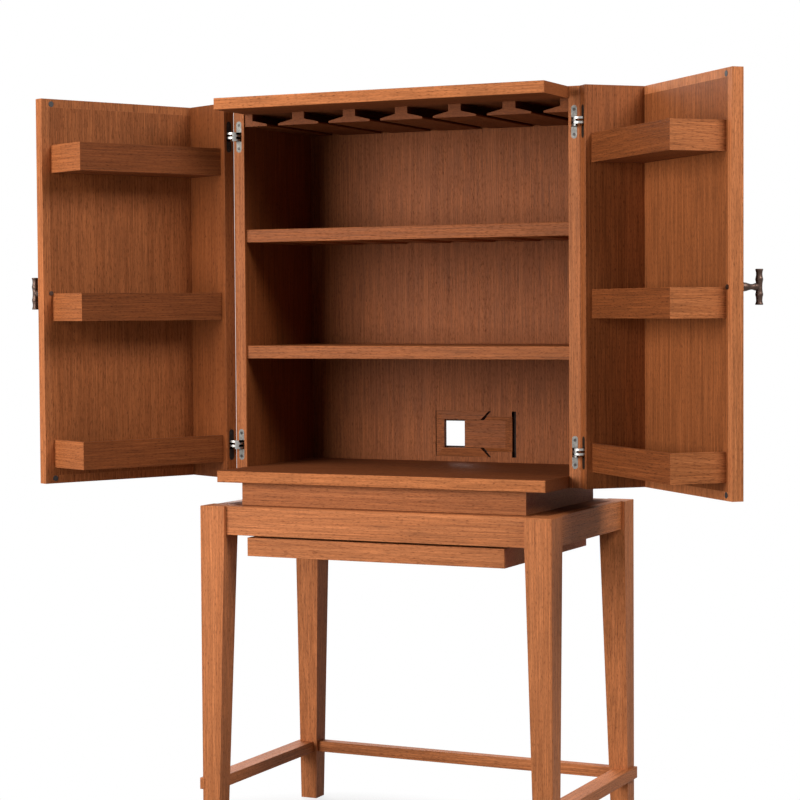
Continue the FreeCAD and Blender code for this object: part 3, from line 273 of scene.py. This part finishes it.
def dark_rings(graph, turned, board, seed, heart, tilt, ring, figure):
    """The dark part of the growth rings, on a board that wanders off the tree's line."""
    slow = grain_noise(graph, board, *SWAY_NOISE, output="Color")
    sway = graph.vector("SUBTRACT", slow, (0.5, 0.5, 0.5))
    sway = graph.vector("MULTIPLY", sway, (SWAY * figure, SWAY * figure, 0))
    parts = graph.node("ShaderNodeSeparateXYZ", {"Vector": graph.vector("ADD", turned, sway)})
    lean_x = graph.math("MULTIPLY_ADD", parts.outputs[2], tilt[0] * figure, parts.outputs[0])
    lean_y = graph.math("MULTIPLY_ADD", parts.outputs[2], tilt[1] * figure, parts.outputs[1])
    away = graph.math("ADD", lean_x, heart)
    radius = graph.math("SQRT", graph.math("ADD", graph.math("MULTIPLY", away, away),
                                           graph.math("MULTIPLY", lean_y, lean_y)))
    count = graph.math("MULTIPLY_ADD", radius, 1 / (ring * MM), seed * RING_STEP)
    rings = graph.node("ShaderNodeTexNoise", {"W": count, **RING_NOISE}, noise_dimensions="1D")
    return graph.span(rings.outputs["Fac"], *DARK_RINGS)


def recess_shade_mask(graph, place, box):
    """Marks what lies inside a box, away from all its faces: the walls of cuts, where shade is painted.
    """
    low, high = box
    off_middle = graph.vector("ABSOLUTE", graph.vector("SUBTRACT", place, (low + high) / 2))
    ways = graph.node("ShaderNodeSeparateXYZ", {"Vector": off_middle}).outputs
    sunk = RECESS_SHADE_SHARE
    for way, half in zip(ways, (high - low) / 2):
        sunk = graph.math("MULTIPLY", sunk, graph.math("LESS_THAN", way, half - RECESS_INSET))
    return sunk


def wood(name, grain, tree, turn=0.0, seed=0, heart=0.16, tilt=(0.02, 0.03), ring=3.4, tone=1.0,
         figure=1.0, roughness=WOOD_ROUGHNESS, end_board=None, lipping=None, recess=None):
    """Open-pored brown oak: growth rings about a heart beside the board, fibres and pores.

    grain and tree are the directions along the board and to the tree's heart, and turn is its
    door's turn. heart is how far the tree's middle is from the board, in metres. tilt leans it
    along the board. ring is the mean ring width in millimetres. figure is how lively the rings
    are. end_board is a (mask maker, tone) pair for a mitred end board, whose grain runs across
    the others'. lipping is a (level, tone) pair for the solid strip in front of that level along
    Y. recess gives the corners of the board's own box: a surface that lies inside it, away from
    all its faces, is the wall of a cut, and gets a near-black colour there as painted shade.
    all its faces, is the wall of a cut, and is raw, dark wood.
    """
    material, graph = new_material(name)
    place = graph.node("ShaderNodeTexCoord").outputs["Object"]
    turned = graph.node("ShaderNodeMapping", {"Vector": place,
                                              "Rotation": texture_axes(grain, tree, turn)}).outputs[0]
    board_tone = 1.0
    if end_board:
        make_mask, end_tone = end_board
        mask = make_mask(graph, place)
        across = graph.node("ShaderNodeMapping", {"Vector": place,
                                                  "Rotation": texture_axes(tree, grain, turn)}).outputs[0]
        turned = graph.mix_vectors(mask, turned, across)
        board_tone = graph.span(mask, 0.0, 1.0, 1.0, end_tone)
    if lipping:
        depth = graph.node("ShaderNodeSeparateXYZ", {"Vector": place}).outputs[1]
        level, front_tone = lipping
        board_tone = graph.span(graph.math("LESS_THAN", depth, level), 0.0, 1.0, 1.0, front_tone)
    board = graph.vector("ADD", turned, Vector(step * seed for step in BOARD_STEPS))

    dark = dark_rings(graph, turned, board, seed, heart, tilt, ring, figure)
    fibre = grain_noise(graph, board, *FIBRE_NOISE)
    streak = grain_noise(graph, board, *STREAK_NOISE)
    cloud = grain_noise(graph, board, *CLOUD_NOISE)
    pore_cell = grain_noise(graph, board, *PORE_NOISE)
    pore = graph.math("MULTIPLY", graph.span(pore_cell, *PORES), graph.span(dark, *PORES_BY_RING))

    colour = graph.mix(graph.math("MULTIPLY", dark, DARK_RING_SHARE * figure), shaded(PALE_WOOD, tone),
                       shaded(BROWN_WOOD, tone))
    colour = graph.mix(graph.span(streak, *STREAK_SHARE), colour, shaded(BROWN_WOOD, tone))
    shade = graph.math("MULTIPLY", graph.span(fibre, *FIBRE_SHADE), graph.span(cloud, *CLOUD_SHADE))
    channels = {index: graph.math("MULTIPLY", shade, graph.math("POWER", board_tone, power))
                for index, power in enumerate(STAIN_POWERS)}
    tint = graph.node("ShaderNodeCombineColor", channels).outputs[0]
    colour = graph.mix(1.0, colour, tint, "MULTIPLY")
    colour = graph.mix(graph.math("MULTIPLY", pore, PORE_SHARE), colour, shaded(PORE_WOOD, tone))
    rubbed = graph.math("MULTIPLY", graph.edge(WOOD_EDGE, WOOD_EDGE_COSINE),
                        graph.span(streak, *EDGE_WEAR))
    colour = graph.mix(rubbed, colour, shaded(RUBBED_WOOD, tone))
    # painted shade: the walls of cuts are coloured near-black, for the shade inside them
    if recess:
        colour = graph.mix(recess_shade_mask(graph, place, recess), colour, RECESS_PAINTED_SHADE)

    smoothest, roughest = (roughness + change for change in FIBRE_ROUGHNESS)
    rough = graph.math("ADD", graph.span(fibre, 0.2, 0.8, smoothest, roughest),
                       graph.math("MULTIPLY", pore, PORE_ROUGHNESS))
    height = graph.math("SUBTRACT", graph.math("MULTIPLY", fibre, FIBRE_HEIGHT), pore)
    bump = graph.node("ShaderNodeBump", {"Height": height, **WOOD_BUMP})
    graph.principled(Base_Color=colour, Roughness=rough, Normal=bump.outputs[0], IOR=WOOD_IOR,
                     Specular_IOR_Level=WOOD_SPECULAR)
    return material


# ---------------------------------------------------------------- metal and rubber
# noises: scale per metre, detail, roughness
TARNISH_NOISE = (140, 3.0, 0.6)
TARNISH = (0.45, 0.72)
TARNISH_SHARE = 0.6  # of the wear at the edges
METAL_EDGE = 0.9 * MM
METAL_EDGE_COSINE = 0.75
METAL_GRIT = (2.0, 0.6)  # detail and roughness
GRIT = (0.3, 0.7)
METAL_ROUGHNESS = (-0.06, 0.08)
WORN_ROUGHNESS = -0.08
METAL_BUMP = {"Strength": 0.25, "Distance": 0.12 * MM}
STEEL_GRAIN = 2600
BRONZE_GRAIN = 1800

RUBBER_GRIT = (1400, 2.0, 0.6)
RUBBER_DUST = (220, 2.0, 0.5)
DUST_SHARE = (0.4, 0.75, 0.0, 0.5)
DUST_COLOUR = (0.055, 0.045, 0.040, 1)
RUBBER_ROUGHNESS = (0.48, 0.66)
RUBBER_BUMP = {"Strength": 0.3, "Distance": 0.1 * MM}


def metal(name, base, worn, roughness, grain_scale, wear):
    """A finished metal with a fine grain, cloudy tarnish and rubbed edges, which show its worn colour."""
    material, graph = new_material(name)
    place = graph.node("ShaderNodeTexCoord").outputs["Object"]
    tarnish = graph.noise(place, *TARNISH_NOISE)
    grit = graph.noise(place, grain_scale, *METAL_GRIT)
    share = graph.math("ADD", graph.math("MULTIPLY", graph.edge(METAL_EDGE, METAL_EDGE_COSINE), wear),
                       graph.span(tarnish, *TARNISH, 0.0, wear * TARNISH_SHARE), clamp=True)
    smoothest, roughest = (roughness + change for change in METAL_ROUGHNESS)
    rough = graph.math("ADD", graph.span(grit, *GRIT, smoothest, roughest),
                       graph.math("MULTIPLY", share, WORN_ROUGHNESS))
    bump = graph.node("ShaderNodeBump", {"Height": grit, **METAL_BUMP})
    graph.principled(Base_Color=graph.mix(share, (*base, 1), (*worn, 1)), Metallic=1.0, Roughness=rough,
                     Normal=bump.outputs[0])
    return material


def rubber(name, base):
    """A dull dark moulded button with a fine grain."""
    material, graph = new_material(name)
    place = graph.node("ShaderNodeTexCoord").outputs["Object"]
    grit = graph.noise(place, *RUBBER_GRIT)
    dust = graph.noise(place, *RUBBER_DUST)
    colour = graph.mix(graph.span(dust, *DUST_SHARE), (*base, 1), DUST_COLOUR)
    bump = graph.node("ShaderNodeBump", {"Height": grit, **RUBBER_BUMP})
    graph.principled(Base_Color=colour, Roughness=graph.span(grit, *GRIT, *RUBBER_ROUGHNESS),
                     Normal=bump.outputs[0])
    return material


nickel = metal("satin_nickel", base=(0.105, 0.099, 0.089), worn=(0.24, 0.228, 0.208), roughness=0.52,
               grain_scale=STEEL_GRAIN, wear=0.5)
# The door leaves' nickel is a darker copy of the case leaves': painted shade, for the shadow these leaves
# stand in.
nickel_painted_shade = metal("nickel_with_painted_shade", base=(0.030, 0.025, 0.022), worn=(0.085, 0.075, 0.065),
                    roughness=0.46, grain_scale=STEEL_GRAIN, wear=0.4)
link_steel = metal("bright_link", base=(0.34, 0.33, 0.31), worn=(0.56, 0.54, 0.51), roughness=0.36,
                   grain_scale=STEEL_GRAIN, wear=0.4)
# The screw heads are near-black steel: painted shade, for the shade in their countersunk seats.
screw_steel_painted_shade = metal("screw_steel_painted_shade", base=(0.028, 0.025, 0.023), worn=(0.12, 0.11, 0.10), roughness=0.44,
                    grain_scale=STEEL_GRAIN, wear=0.4)
bronze = metal("dark_bronze", base=(0.068, 0.042, 0.033), worn=(0.25, 0.16, 0.12), roughness=0.44,
               grain_scale=BRONZE_GRAIN, wear=0.45)
black_button = rubber("black_button", base=(0.014, 0.012, 0.012))


# ---------------------------------------------------------------- the CAD nodes' materials
def dress(node, material):
    """Put a material on every slot of a CAD node."""
    data = frame["nodes"][node].data
    if not data.materials:
        data.materials.append(material)
    for index in range(len(data.materials)):
        data.materials[index] = material


def dress_board(label, grain, tree, **looks):
    """Give a board a wood of its own."""
    dress(label, wood("wood_" + label, grain, tree, **looks))


STAND_TOP_TONE = 0.40
PLINTH_TONE = 0.84
RUNNER_TONE = 0.8


def dress_stand():
    seeds = itertools.count(1)
    for row in ("front", "rear"):
        for side in ("left", "right"):
            dress_board("leg_%s_%s" % (row, side), Z_AXIS, Y_AXIS, seed=next(seeds), heart=0.14,
                        tilt=(0.004, 0.012), ring=3.0, figure=0.45)
    for label in ("apron_front", "apron_rear"):
        dress_board(label, X_AXIS, Z_AXIS, seed=next(seeds), heart=0.2, tilt=(0.01, 0.02), ring=3.2,
                    figure=0.5)
    for label in ("apron_left", "apron_right", "stretcher_left", "stretcher_right"):
        dress_board(label, Y_AXIS, Z_AXIS, seed=next(seeds), heart=0.2, tilt=(0.01, 0.02), ring=3.2,
                    figure=0.5)
    dress_board("stretcher_rear", X_AXIS, Z_AXIS, seed=next(seeds), heart=0.15, figure=0.6)
    dress_board("stand_top", X_AXIS, Y_AXIS, seed=next(seeds), heart=0.5, figure=0.5,
                tone=STAND_TOP_TONE, roughness=FLAT_ROUGHNESS)
    dress_board("plinth", X_AXIS, Z_AXIS, seed=next(seeds), heart=0.25, figure=0.5, tone=PLINTH_TONE)
    dress_board("pull_out_shelf", X_AXIS, Z_AXIS, seed=next(seeds), heart=0.3, figure=0.5)
    for label in ("shelf_runners", "shelf_cleats"):
        dress_board(label, Y_AXIS, Z_AXIS, seed=next(seeds), tone=RUNNER_TONE)


SIDE_TONE = 0.50
SIDE_LIPPINGS_WITH_PAINTED_LIGHT = {LEFT: 1.6, RIGHT: 1.9}  # the solid front strips are paler than the veneer behind them, partly as their own wood and partly as painted light on the fronts; the left strip is darker than the right as painted shade
BACK_TONE = 0.58
TOP_AND_BOTTOM = (("case_top", 0.50, 2.0), ("case_bottom", 0.40, 2.5))  # tone, front strip's tone
SHELF_TONES = (("shelf_upper", 0.60), ("shelf_lower", 0.72))
RAIL_TONE = 0.36
RAIL_LIPPING = 1.3
OUTLET_TONE = 0.58
LIPPING_DEPTH = 3 * MM
RACK_RAILS = ["rack_rail_%d" % number for number in range(1, 6)] + ["rack_rail_left", "rack_rail_right"]


def front_strip(label, tone):
    """The level behind a board's solid front strip, with the strip's tone."""
    return (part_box(label)[0].y + LIPPING_DEPTH, tone)


def dress_case():
    for seed, side in enumerate((LEFT, RIGHT), start=40):
        label = "case_side_" + SIDE_NAMES[side]
        dress_board(label, Z_AXIS, Y_AXIS, seed=seed, heart=0.25, tilt=(0.004, 0.01), ring=3.2,
                    figure=0.4, tone=SIDE_TONE, lipping=front_strip(label, SIDE_LIPPINGS_WITH_PAINTED_LIGHT[side]),
                    recess=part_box(label))
    for seed, (label, tone, strip_tone) in enumerate(TOP_AND_BOTTOM, start=43):
        dress_board(label, X_AXIS, Z_AXIS, seed=seed, heart=0.25, figure=0.5, roughness=FLAT_ROUGHNESS,
                    tone=tone, lipping=front_strip(label, strip_tone))
    dress_board("case_back", Z_AXIS, Y_AXIS, seed=46, heart=0.6, tilt=(0.004, 0.01), ring=2.6,
                figure=0.35, tone=BACK_TONE, recess=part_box("case_back"))
    for seed, (label, tone) in enumerate(SHELF_TONES, start=50):
        dress_board(label, X_AXIS, Z_AXIS, seed=seed, heart=0.10, tilt=(0.05, 0.03), ring=3.4, tone=tone)
    for seed, label in enumerate(RACK_RAILS, start=55):
        dress_board(label, Y_AXIS, Z_AXIS, seed=seed, tone=RAIL_TONE,
                    lipping=front_strip(label, RAIL_LIPPING))
    for seed, label in enumerate(("outlet_frame", "outlet_slide"), start=70):
        dress_board(label, X_AXIS, Z_AXIS, seed=seed, tone=OUTLET_TONE, heart=0.1)


DOOR_SEEDS = {LEFT: 80, RIGHT: 100}
# Each door's tones are part its own wood and part painted light: the left return is darker than the right
# as painted shade, the left veneer is paler and the left lipping darker than the right as painted light
# and shade.
VENEER_TONES_WITH_PAINTED_LIGHT = {LEFT: 0.68, RIGHT: 0.60}
RETURN_TONES_WITH_PAINTED_SHADE = {LEFT: 0.46, RIGHT: 0.60}
LIPPING_TONES_WITH_PAINTED_LIGHT = {LEFT: 0.84, RIGHT: 1.10}
TRAY_TONE = 0.44
TRAY_END_TONES_WITH_PAINTED_SHEEN = {LEFT: 1.60, RIGHT: 2.05}  # the end boards are paler than the long boards, partly as their own wood and partly as painted sheen; the right ends are paler than the left as painted light
TRAY_WALL = 12.2 * MM


def tray_end(side, label):
    """A maker of the mask of a tray's end board: the boards meet in a mitre at the corner."""
    turn = Matrix.Rotation(door_turn(side), 3, "Z")
    along = turn @ Vector((side, 0, 0))
    inward = turn @ Vector((0, 1, 0))
    corners = [vertex.co for vertex in frame["nodes"][label].data.vertices]
    far_end = max(corner.dot(along) for corner in corners)
    outer_face = max(corner.dot(inward) for corner in corners)

    def make_mask(graph, place):
        from_end = graph.math("SUBTRACT", far_end, graph.vector("DOT_PRODUCT", place, along))
        from_face = graph.math("SUBTRACT", outer_face, graph.vector("DOT_PRODUCT", place, inward))
        return graph.math("LESS_THAN", from_end, graph.math("MINIMUM", from_face, TRAY_WALL))

    return make_mask


def dress_door(side):
    name = SIDE_NAMES[side]
    turn = door_turn(side)
    seeds = itertools.count(DOOR_SEEDS[side])
    dress_board("door_side_" + name, Z_AXIS, Y_AXIS, turn=turn, seed=next(seeds), heart=0.5,
                tilt=(0.003, 0.008), ring=2.8, figure=0.4, tone=RETURN_TONES_WITH_PAINTED_SHADE[side])
    dress_board("door_front_" + name, Z_AXIS, X_AXIS, turn=turn, seed=next(seeds), heart=0.6,
                tilt=(0.003, 0.008), ring=2.8, figure=0.4, tone=VENEER_TONES_WITH_PAINTED_LIGHT[side])
    dress_board("door_lippings_" + name, Z_AXIS, X_AXIS, turn=turn, seed=next(seeds), heart=0.3,
                tilt=(0.004, 0.008), ring=3.0, figure=0.4, tone=LIPPING_TONES_WITH_PAINTED_LIGHT[side])
    for place in ("top", "middle", "bottom"):
        label = "tray_%s_%s" % (name, place)
        dress_board(label, X_AXIS, Y_AXIS, turn=turn, seed=next(seeds), heart=0.045, tilt=(0.10, 0.05),
                    ring=3.8, figure=1.1, tone=TRAY_TONE,
                    end_board=(tray_end(side, label), TRAY_END_TONES_WITH_PAINTED_SHEEN[side]))
    dress("door_buttons_" + name, black_button)
    dress("handle_bolt_" + name, bronze)
    dress("hinge_leaves_case_" + name, nickel)
    dress("hinge_leaves_door_" + name, nickel_painted_shade)
    for part in ("door", "case"):
        dress("hinge_links_%s_%s" % (part, name), link_steel)


# ---------------------------------------------------------------- mesh helpers
ON_AXIS = 1e-7  # a smaller radius is a point on the axis


def lathe(outline, steps):
    """Turn (radius, height) pairs about Z into a mesh, closed where its ends lie on the axis."""
    build = bmesh.new()
    rings = []
    for radius, height in outline:
        if radius < ON_AXIS:
            rings.append([build.verts.new((0, 0, height))])
            continue
        rings.append([build.verts.new((radius * math.cos(math.tau * step / steps),
                                       radius * math.sin(math.tau * step / steps), height))
                      for step in range(steps)])
    for low, high in zip(rings, rings[1:]):
        for step in range(steps):
            corners = [low[step % len(low)], low[(step + 1) % len(low)],
                       high[(step + 1) % len(high)], high[step % len(high)]]
            corners = list(dict.fromkeys(corners))
            if len(corners) > 2:
                build.faces.new(corners)
    bmesh.ops.recalc_face_normals(build, faces=build.faces)
    return build


def smooth_curve(points, steps):
    """Catmull-Rom curve through (radius, height) points, with a few steps between each two."""
    ends = [points[0]] + list(points) + [points[-1]]
    curve = []
    for before, start, end, after in zip(ends, ends[1:], ends[2:], ends[3:]):
        for step in range(steps):
            share = step / steps
            curve.append(tuple(
                0.5 * (2 * s + (e - b) * share + (2 * b - 5 * s + 4 * e - a) * share ** 2
                       + (3 * s - b - 3 * e + a) * share ** 3)
                for b, s, e, a in zip(before, start, end, after)))
    curve.append(tuple(points[-1]))
    return [(max(radius, 0.0), height) for radius, height in curve]


def mesh_of(build, name):
    """Turn a bmesh into a mesh, and free it."""
    data = bpy.data.meshes.new(name)
    build.to_mesh(data)
    build.free()
    return data


def finish_mesh(build, name, material, place, body, smooth_angle):
    """Turn a bmesh into a piece that rides on a body."""
    data = mesh_of(build, name)
    data.transform(place)
    if place.determinant() < 0:
        data.flip_normals()
    for face in data.polygons:
        face.use_smooth = True
    data.set_sharp_from_angle(angle=math.radians(smooth_angle))
    data.materials.append(material)
    piece = add_object(name, data)
    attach(piece, body)
    return piece


def combined(piece, other, operation, use_self=False):
    """The mesh of a piece joined with another, or cut by it. The other is used up."""
    step = piece.modifiers.new("combined", "BOOLEAN")
    step.operation = operation
    step.solver = "EXACT"
    step.use_self = use_self
    step.object = other
    bpy.context.view_layer.update()
    made = bpy.data.meshes.new_from_object(piece.evaluated_get(bpy.context.evaluated_depsgraph_get()))
    piece.modifiers.clear()
    bpy.data.objects.remove(other)
    return made


# ---------------------------------------------------------------- turned handles
BAR_HALF = 35.2 * MM
FLARE_RADIUS = 7.8 * MM  # the bar's widest, at its flared ends
BAR_OUTLINE = [  # from the bar's middle to its end: height as a share of half the bar, radius in mm
    (0.00, 6.2), (0.12, 6.25), (0.24, 6.7), (0.33, 7.2), (0.355, 7.55), (0.42, 7.75), (0.485, 7.55),
    (0.51, 7.15), (0.60, 6.55), (0.70, 6.25), (0.80, 6.4), (0.88, 6.95), (0.925, 7.6), (0.965, 7.8),
    (0.99, 7.5), (1.0, 6.8),
]
STEM_OUTLINE = [  # from the door's face to the bar's middle: reach as a share, radius in mm
    (0.0, 9.0), (0.16, 9.0), (0.26, 8.8), (0.36, 7.9), (0.46, 6.6), (0.56, 5.7), (0.64, 5.6), (0.72, 6.3),
    (0.79, 7.4), (0.85, 7.2), (0.92, 6.0), (1.0, 5.0),
]
LATHE_STEPS = 56
CURVE_STEPS = 2
HANDLE_SMOOTH_ANGLE = 40


def make_handle(side):
    """The T handle as one casting: a bar with two beads and flared ends, and a waisted stem."""
    name = SIDE_NAMES[side]
    body = name + "_door"
    node = "handle_" + name
    corners = corners_in_door(side, node)
    low = Vector(min(corner[k] for corner in corners) for k in range(3))
    high = Vector(max(corner[k] for corner in corners) for k in range(3))
    middle = Vector(((low.x + high.x) / 2, low.y + FLARE_RADIUS, (low.z + high.z) / 2))
    door_face = min(corner.y for corner in corners_in_door(side, "door_front_" + name))

    half = [(radius * MM, share * BAR_HALF) for share, radius in BAR_OUTLINE]
    whole = [(radius, -height) for radius, height in reversed(half)] + half[1:]
    outline = [(0.0, -BAR_HALF)] + smooth_curve(whole, CURVE_STEPS) + [(0.0, BAR_HALF)]
    place = door_frame(side) @ Matrix.Translation(middle)
    piece = finish_mesh(lathe(outline, LATHE_STEPS), "turned_handle_" + name, bronze, place, body,
                        HANDLE_SMOOTH_ANGLE)

    reach = door_face - middle.y
    stem = smooth_curve([(radius * MM, share * reach) for share, radius in STEM_OUTLINE], CURVE_STEPS)
    outline = [(0.0, 0.0)] + stem + [(0.0, reach)]
    root = Vector((middle.x, door_face, middle.z))
    place = door_frame(side) @ Matrix.Translation(root) @ Matrix.Rotation(math.radians(90), 4, "X")
    rod = finish_mesh(lathe(outline, LATHE_STEPS), "handle_stem_" + name, bronze, place, body,
                      HANDLE_SMOOTH_ANGLE)

    piece.data = combined(piece, rod, "UNION")
    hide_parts(node)


# ---------------------------------------------------------------- hinge screws
PLATE_LENGTH = 69.85 * MM
SCREW_PITCH = 52 * MM
PLATE_MIDDLE = 13.2 * MM  # from the hinge axis, inward
PLATE_FACE = 0.2 * MM  # from the hinge axis, on either side of the joint
HEAD_OUTLINE = [  # radius and height over the plate's face, in mm
    (0.0, -0.6), (2.9, -0.6), (3.5, 0.0), (3.4, 0.09), (2.6, 0.145), (1.4, 0.165), (0.0, 0.17),
]
HEAD_STEPS = 32
HEAD_SMOOTH_ANGLE = 30
CROSS_ARM = (3.9 * MM, 0.8 * MM, 0.4 * MM)
CROSS_FLOOR = 0.04 * MM  # above the plate's face
SCREW_SPIN = 37  # degrees: the screws' crosses stand at different angles


def screw_head():
    """A countersunk screw head with a cross recess, its top towards +Z."""
    head = lathe([(radius * MM, height * MM) for radius, height in HEAD_OUTLINE], HEAD_STEPS)
    blank = add_object("screw_blank", mesh_of(head, "screw_blank"))
    cutter = bmesh.new()
    for angle in (0, 90):
        turn = Matrix.Rotation(math.radians(angle), 3, "Z")
        arm = bmesh.ops.create_cube(cutter, size=1.0)["verts"]
        bmesh.ops.scale(cutter, verts=arm, vec=CROSS_ARM)
        bmesh.ops.translate(cutter, verts=arm, vec=(0, 0, CROSS_FLOOR + CROSS_ARM[2] / 2))
        bmesh.ops.rotate(cutter, verts=arm, cent=(0, 0, 0), matrix=turn)
    cross = add_object("cross", mesh_of(cutter, "cross"))
    head_mesh = combined(blank, cross, "DIFFERENCE", use_self=True)
    bpy.data.objects.remove(blank)
    return head_mesh


def hinge_levels():
    """The heights of a case side's two hinges, from its leaves' own mesh."""
    low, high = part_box("hinge_leaves_case_left")
    half_plate = PLATE_LENGTH / 2
    return low.z + half_plate, high.z - half_plate


def screw_rows(side):
    """Each row of screws on one side: what it is in, that part's frame, which way it faces, its body."""
    return (("case", case_frame(side), -1, "cabinet"),
            ("door", door_frame(side), 1, SIDE_NAMES[side] + "_door"))


def make_screws():
    template = screw_head()
    for side in (LEFT, RIGHT):
        for part, place, facing, body in screw_rows(side):
            for number, level in enumerate(hinge_levels(), start=1):
                for step, lift in enumerate((-SCREW_PITCH / 2, SCREW_PITCH / 2), start=1):
                    spot = Vector((PLATE_MIDDLE, -facing * PLATE_FACE, level + lift))
                    face = Matrix.Rotation(math.radians(-90 * facing), 4, "X")
                    spin = Matrix.Rotation(math.radians(SCREW_SPIN * (number + 2 * step)), 4, "Z")
                    label = "hinge_screw_%s_%s_%d_%d" % (part, SIDE_NAMES[side], number, step)
                    build = bmesh.new()
                    build.from_mesh(template)
                    piece = finish_mesh(build, label, screw_steel_painted_shade,
                                        place @ Matrix.Translation(spot) @ face @ spin, body,
                                        HEAD_SMOOTH_ANGLE)


# ---------------------------------------------------------------- studio
WHITE = {"Color": (1, 1, 1, 1), "Strength": 1.0}
FILL = {"Color": (1.0, 0.98, 0.96, 1), "Strength": 0.02}
FLOOR_RINGS = (0.0, 0.6, 1.2, 2.5, 6.0, 14.0, 40.0)
FLOOR_STEPS = 64
FLOOR_MIDDLE = (-0.12, -0.25, 0)  # where the floor's shade is centred
FLOOR_SHADOW = 0.25  # the floor shows its own shade up to here, in metres from there
FLOOR_WHITE = 0.60  # and is plain white from here on
FLOOR_COLOUR = (0.82, 0.82, 0.82, 1)
FLOOR_BOUNCE = (0.30, 0.30, 0.30, 1)  # as the cabinet's undersides see it
LAMPS = [  # name, place, aims at, size, watts
    ("key", (-1.62, -3.06, 1.72), (0, 0, 1.0), 2.2, 150),
    ("side", (2.66, -0.90, 3.05), (0, 0, 1.0), 1.4, 90),
    ("back", (-2.15, 2.35, 2.75), (0, 0, 0.9), 2.4, 120),
]


def looked_at(graph, path):
    """1 on rays by which a thing is seen: from the camera, by reflection or through glass."""
    indirect = graph.math("MAXIMUM", path.outputs["Is Glossy Ray"], path.outputs["Is Transmission Ray"])
    return graph.math("MAXIMUM", path.outputs["Is Camera Ray"], indirect)


def make_floor():
    """A pale floor that shows the cabinet's shadow, and turns to plain white further out."""
    disc = lathe([(radius, 0.0) for radius in FLOOR_RINGS], FLOOR_STEPS)
    floor = add_object("floor", mesh_of(disc, "floor"))
    material, graph = new_material("floor_white")
    place = graph.node("ShaderNodeTexCoord").outputs["Object"]
    away = graph.vector("LENGTH", graph.vector("SUBTRACT", place, FLOOR_MIDDLE))
    path = graph.node("ShaderNodeLightPath")
    pale = graph.mix(path.outputs["Is Camera Ray"], FLOOR_BOUNCE, FLOOR_COLOUR)
    paper = graph.node("ShaderNodeBsdfDiffuse", {"Color": pale})
    glow = graph.node("ShaderNodeEmission", WHITE)
    share = graph.math("MULTIPLY", looked_at(graph, path), graph.span(away, FLOOR_SHADOW, FLOOR_WHITE))
    blend = graph.node("ShaderNodeMixShader", {0: share, 1: paper.outputs[0], 2: glow.outputs[0]})
    graph.surface("ShaderNodeOutputMaterial", blend)
    floor.data.materials.append(material)


def make_world():
    """A faint even fill, which shows as plain white where it is looked at."""
    world = bpy.data.worlds.new("studio")
    scene.world = world
    world.use_nodes = True
    graph = Graph(world.node_tree)
    path = graph.node("ShaderNodeLightPath")
    fill = graph.node("ShaderNodeBackground", FILL)
    white = graph.node("ShaderNodeBackground", WHITE)
    blend = graph.node("ShaderNodeMixShader", {0: looked_at(graph, path), 1: fill.outputs[0],
                                               2: white.outputs[0]})
    graph.surface("ShaderNodeOutputWorld", blend)


def make_lamps():
    for name, place, target, size, watts in LAMPS:
        data = bpy.data.lights.new(name, "AREA")
        data.shape = "SQUARE"
        data.size = size
        data.energy = watts
        lamp = add_object(name, data)
        lamp.location = place
        lamp.rotation_euler = (Vector(target) - Vector(place)).to_track_quat("-Z", "Y").to_euler()


make_camera()
dress_stand()
dress_case()
for side in (LEFT, RIGHT):
    dress_door(side)
    make_handle(side)
make_screws()
make_floor()
make_world()
make_lamps()
scene.view_settings.view_transform = "Standard"
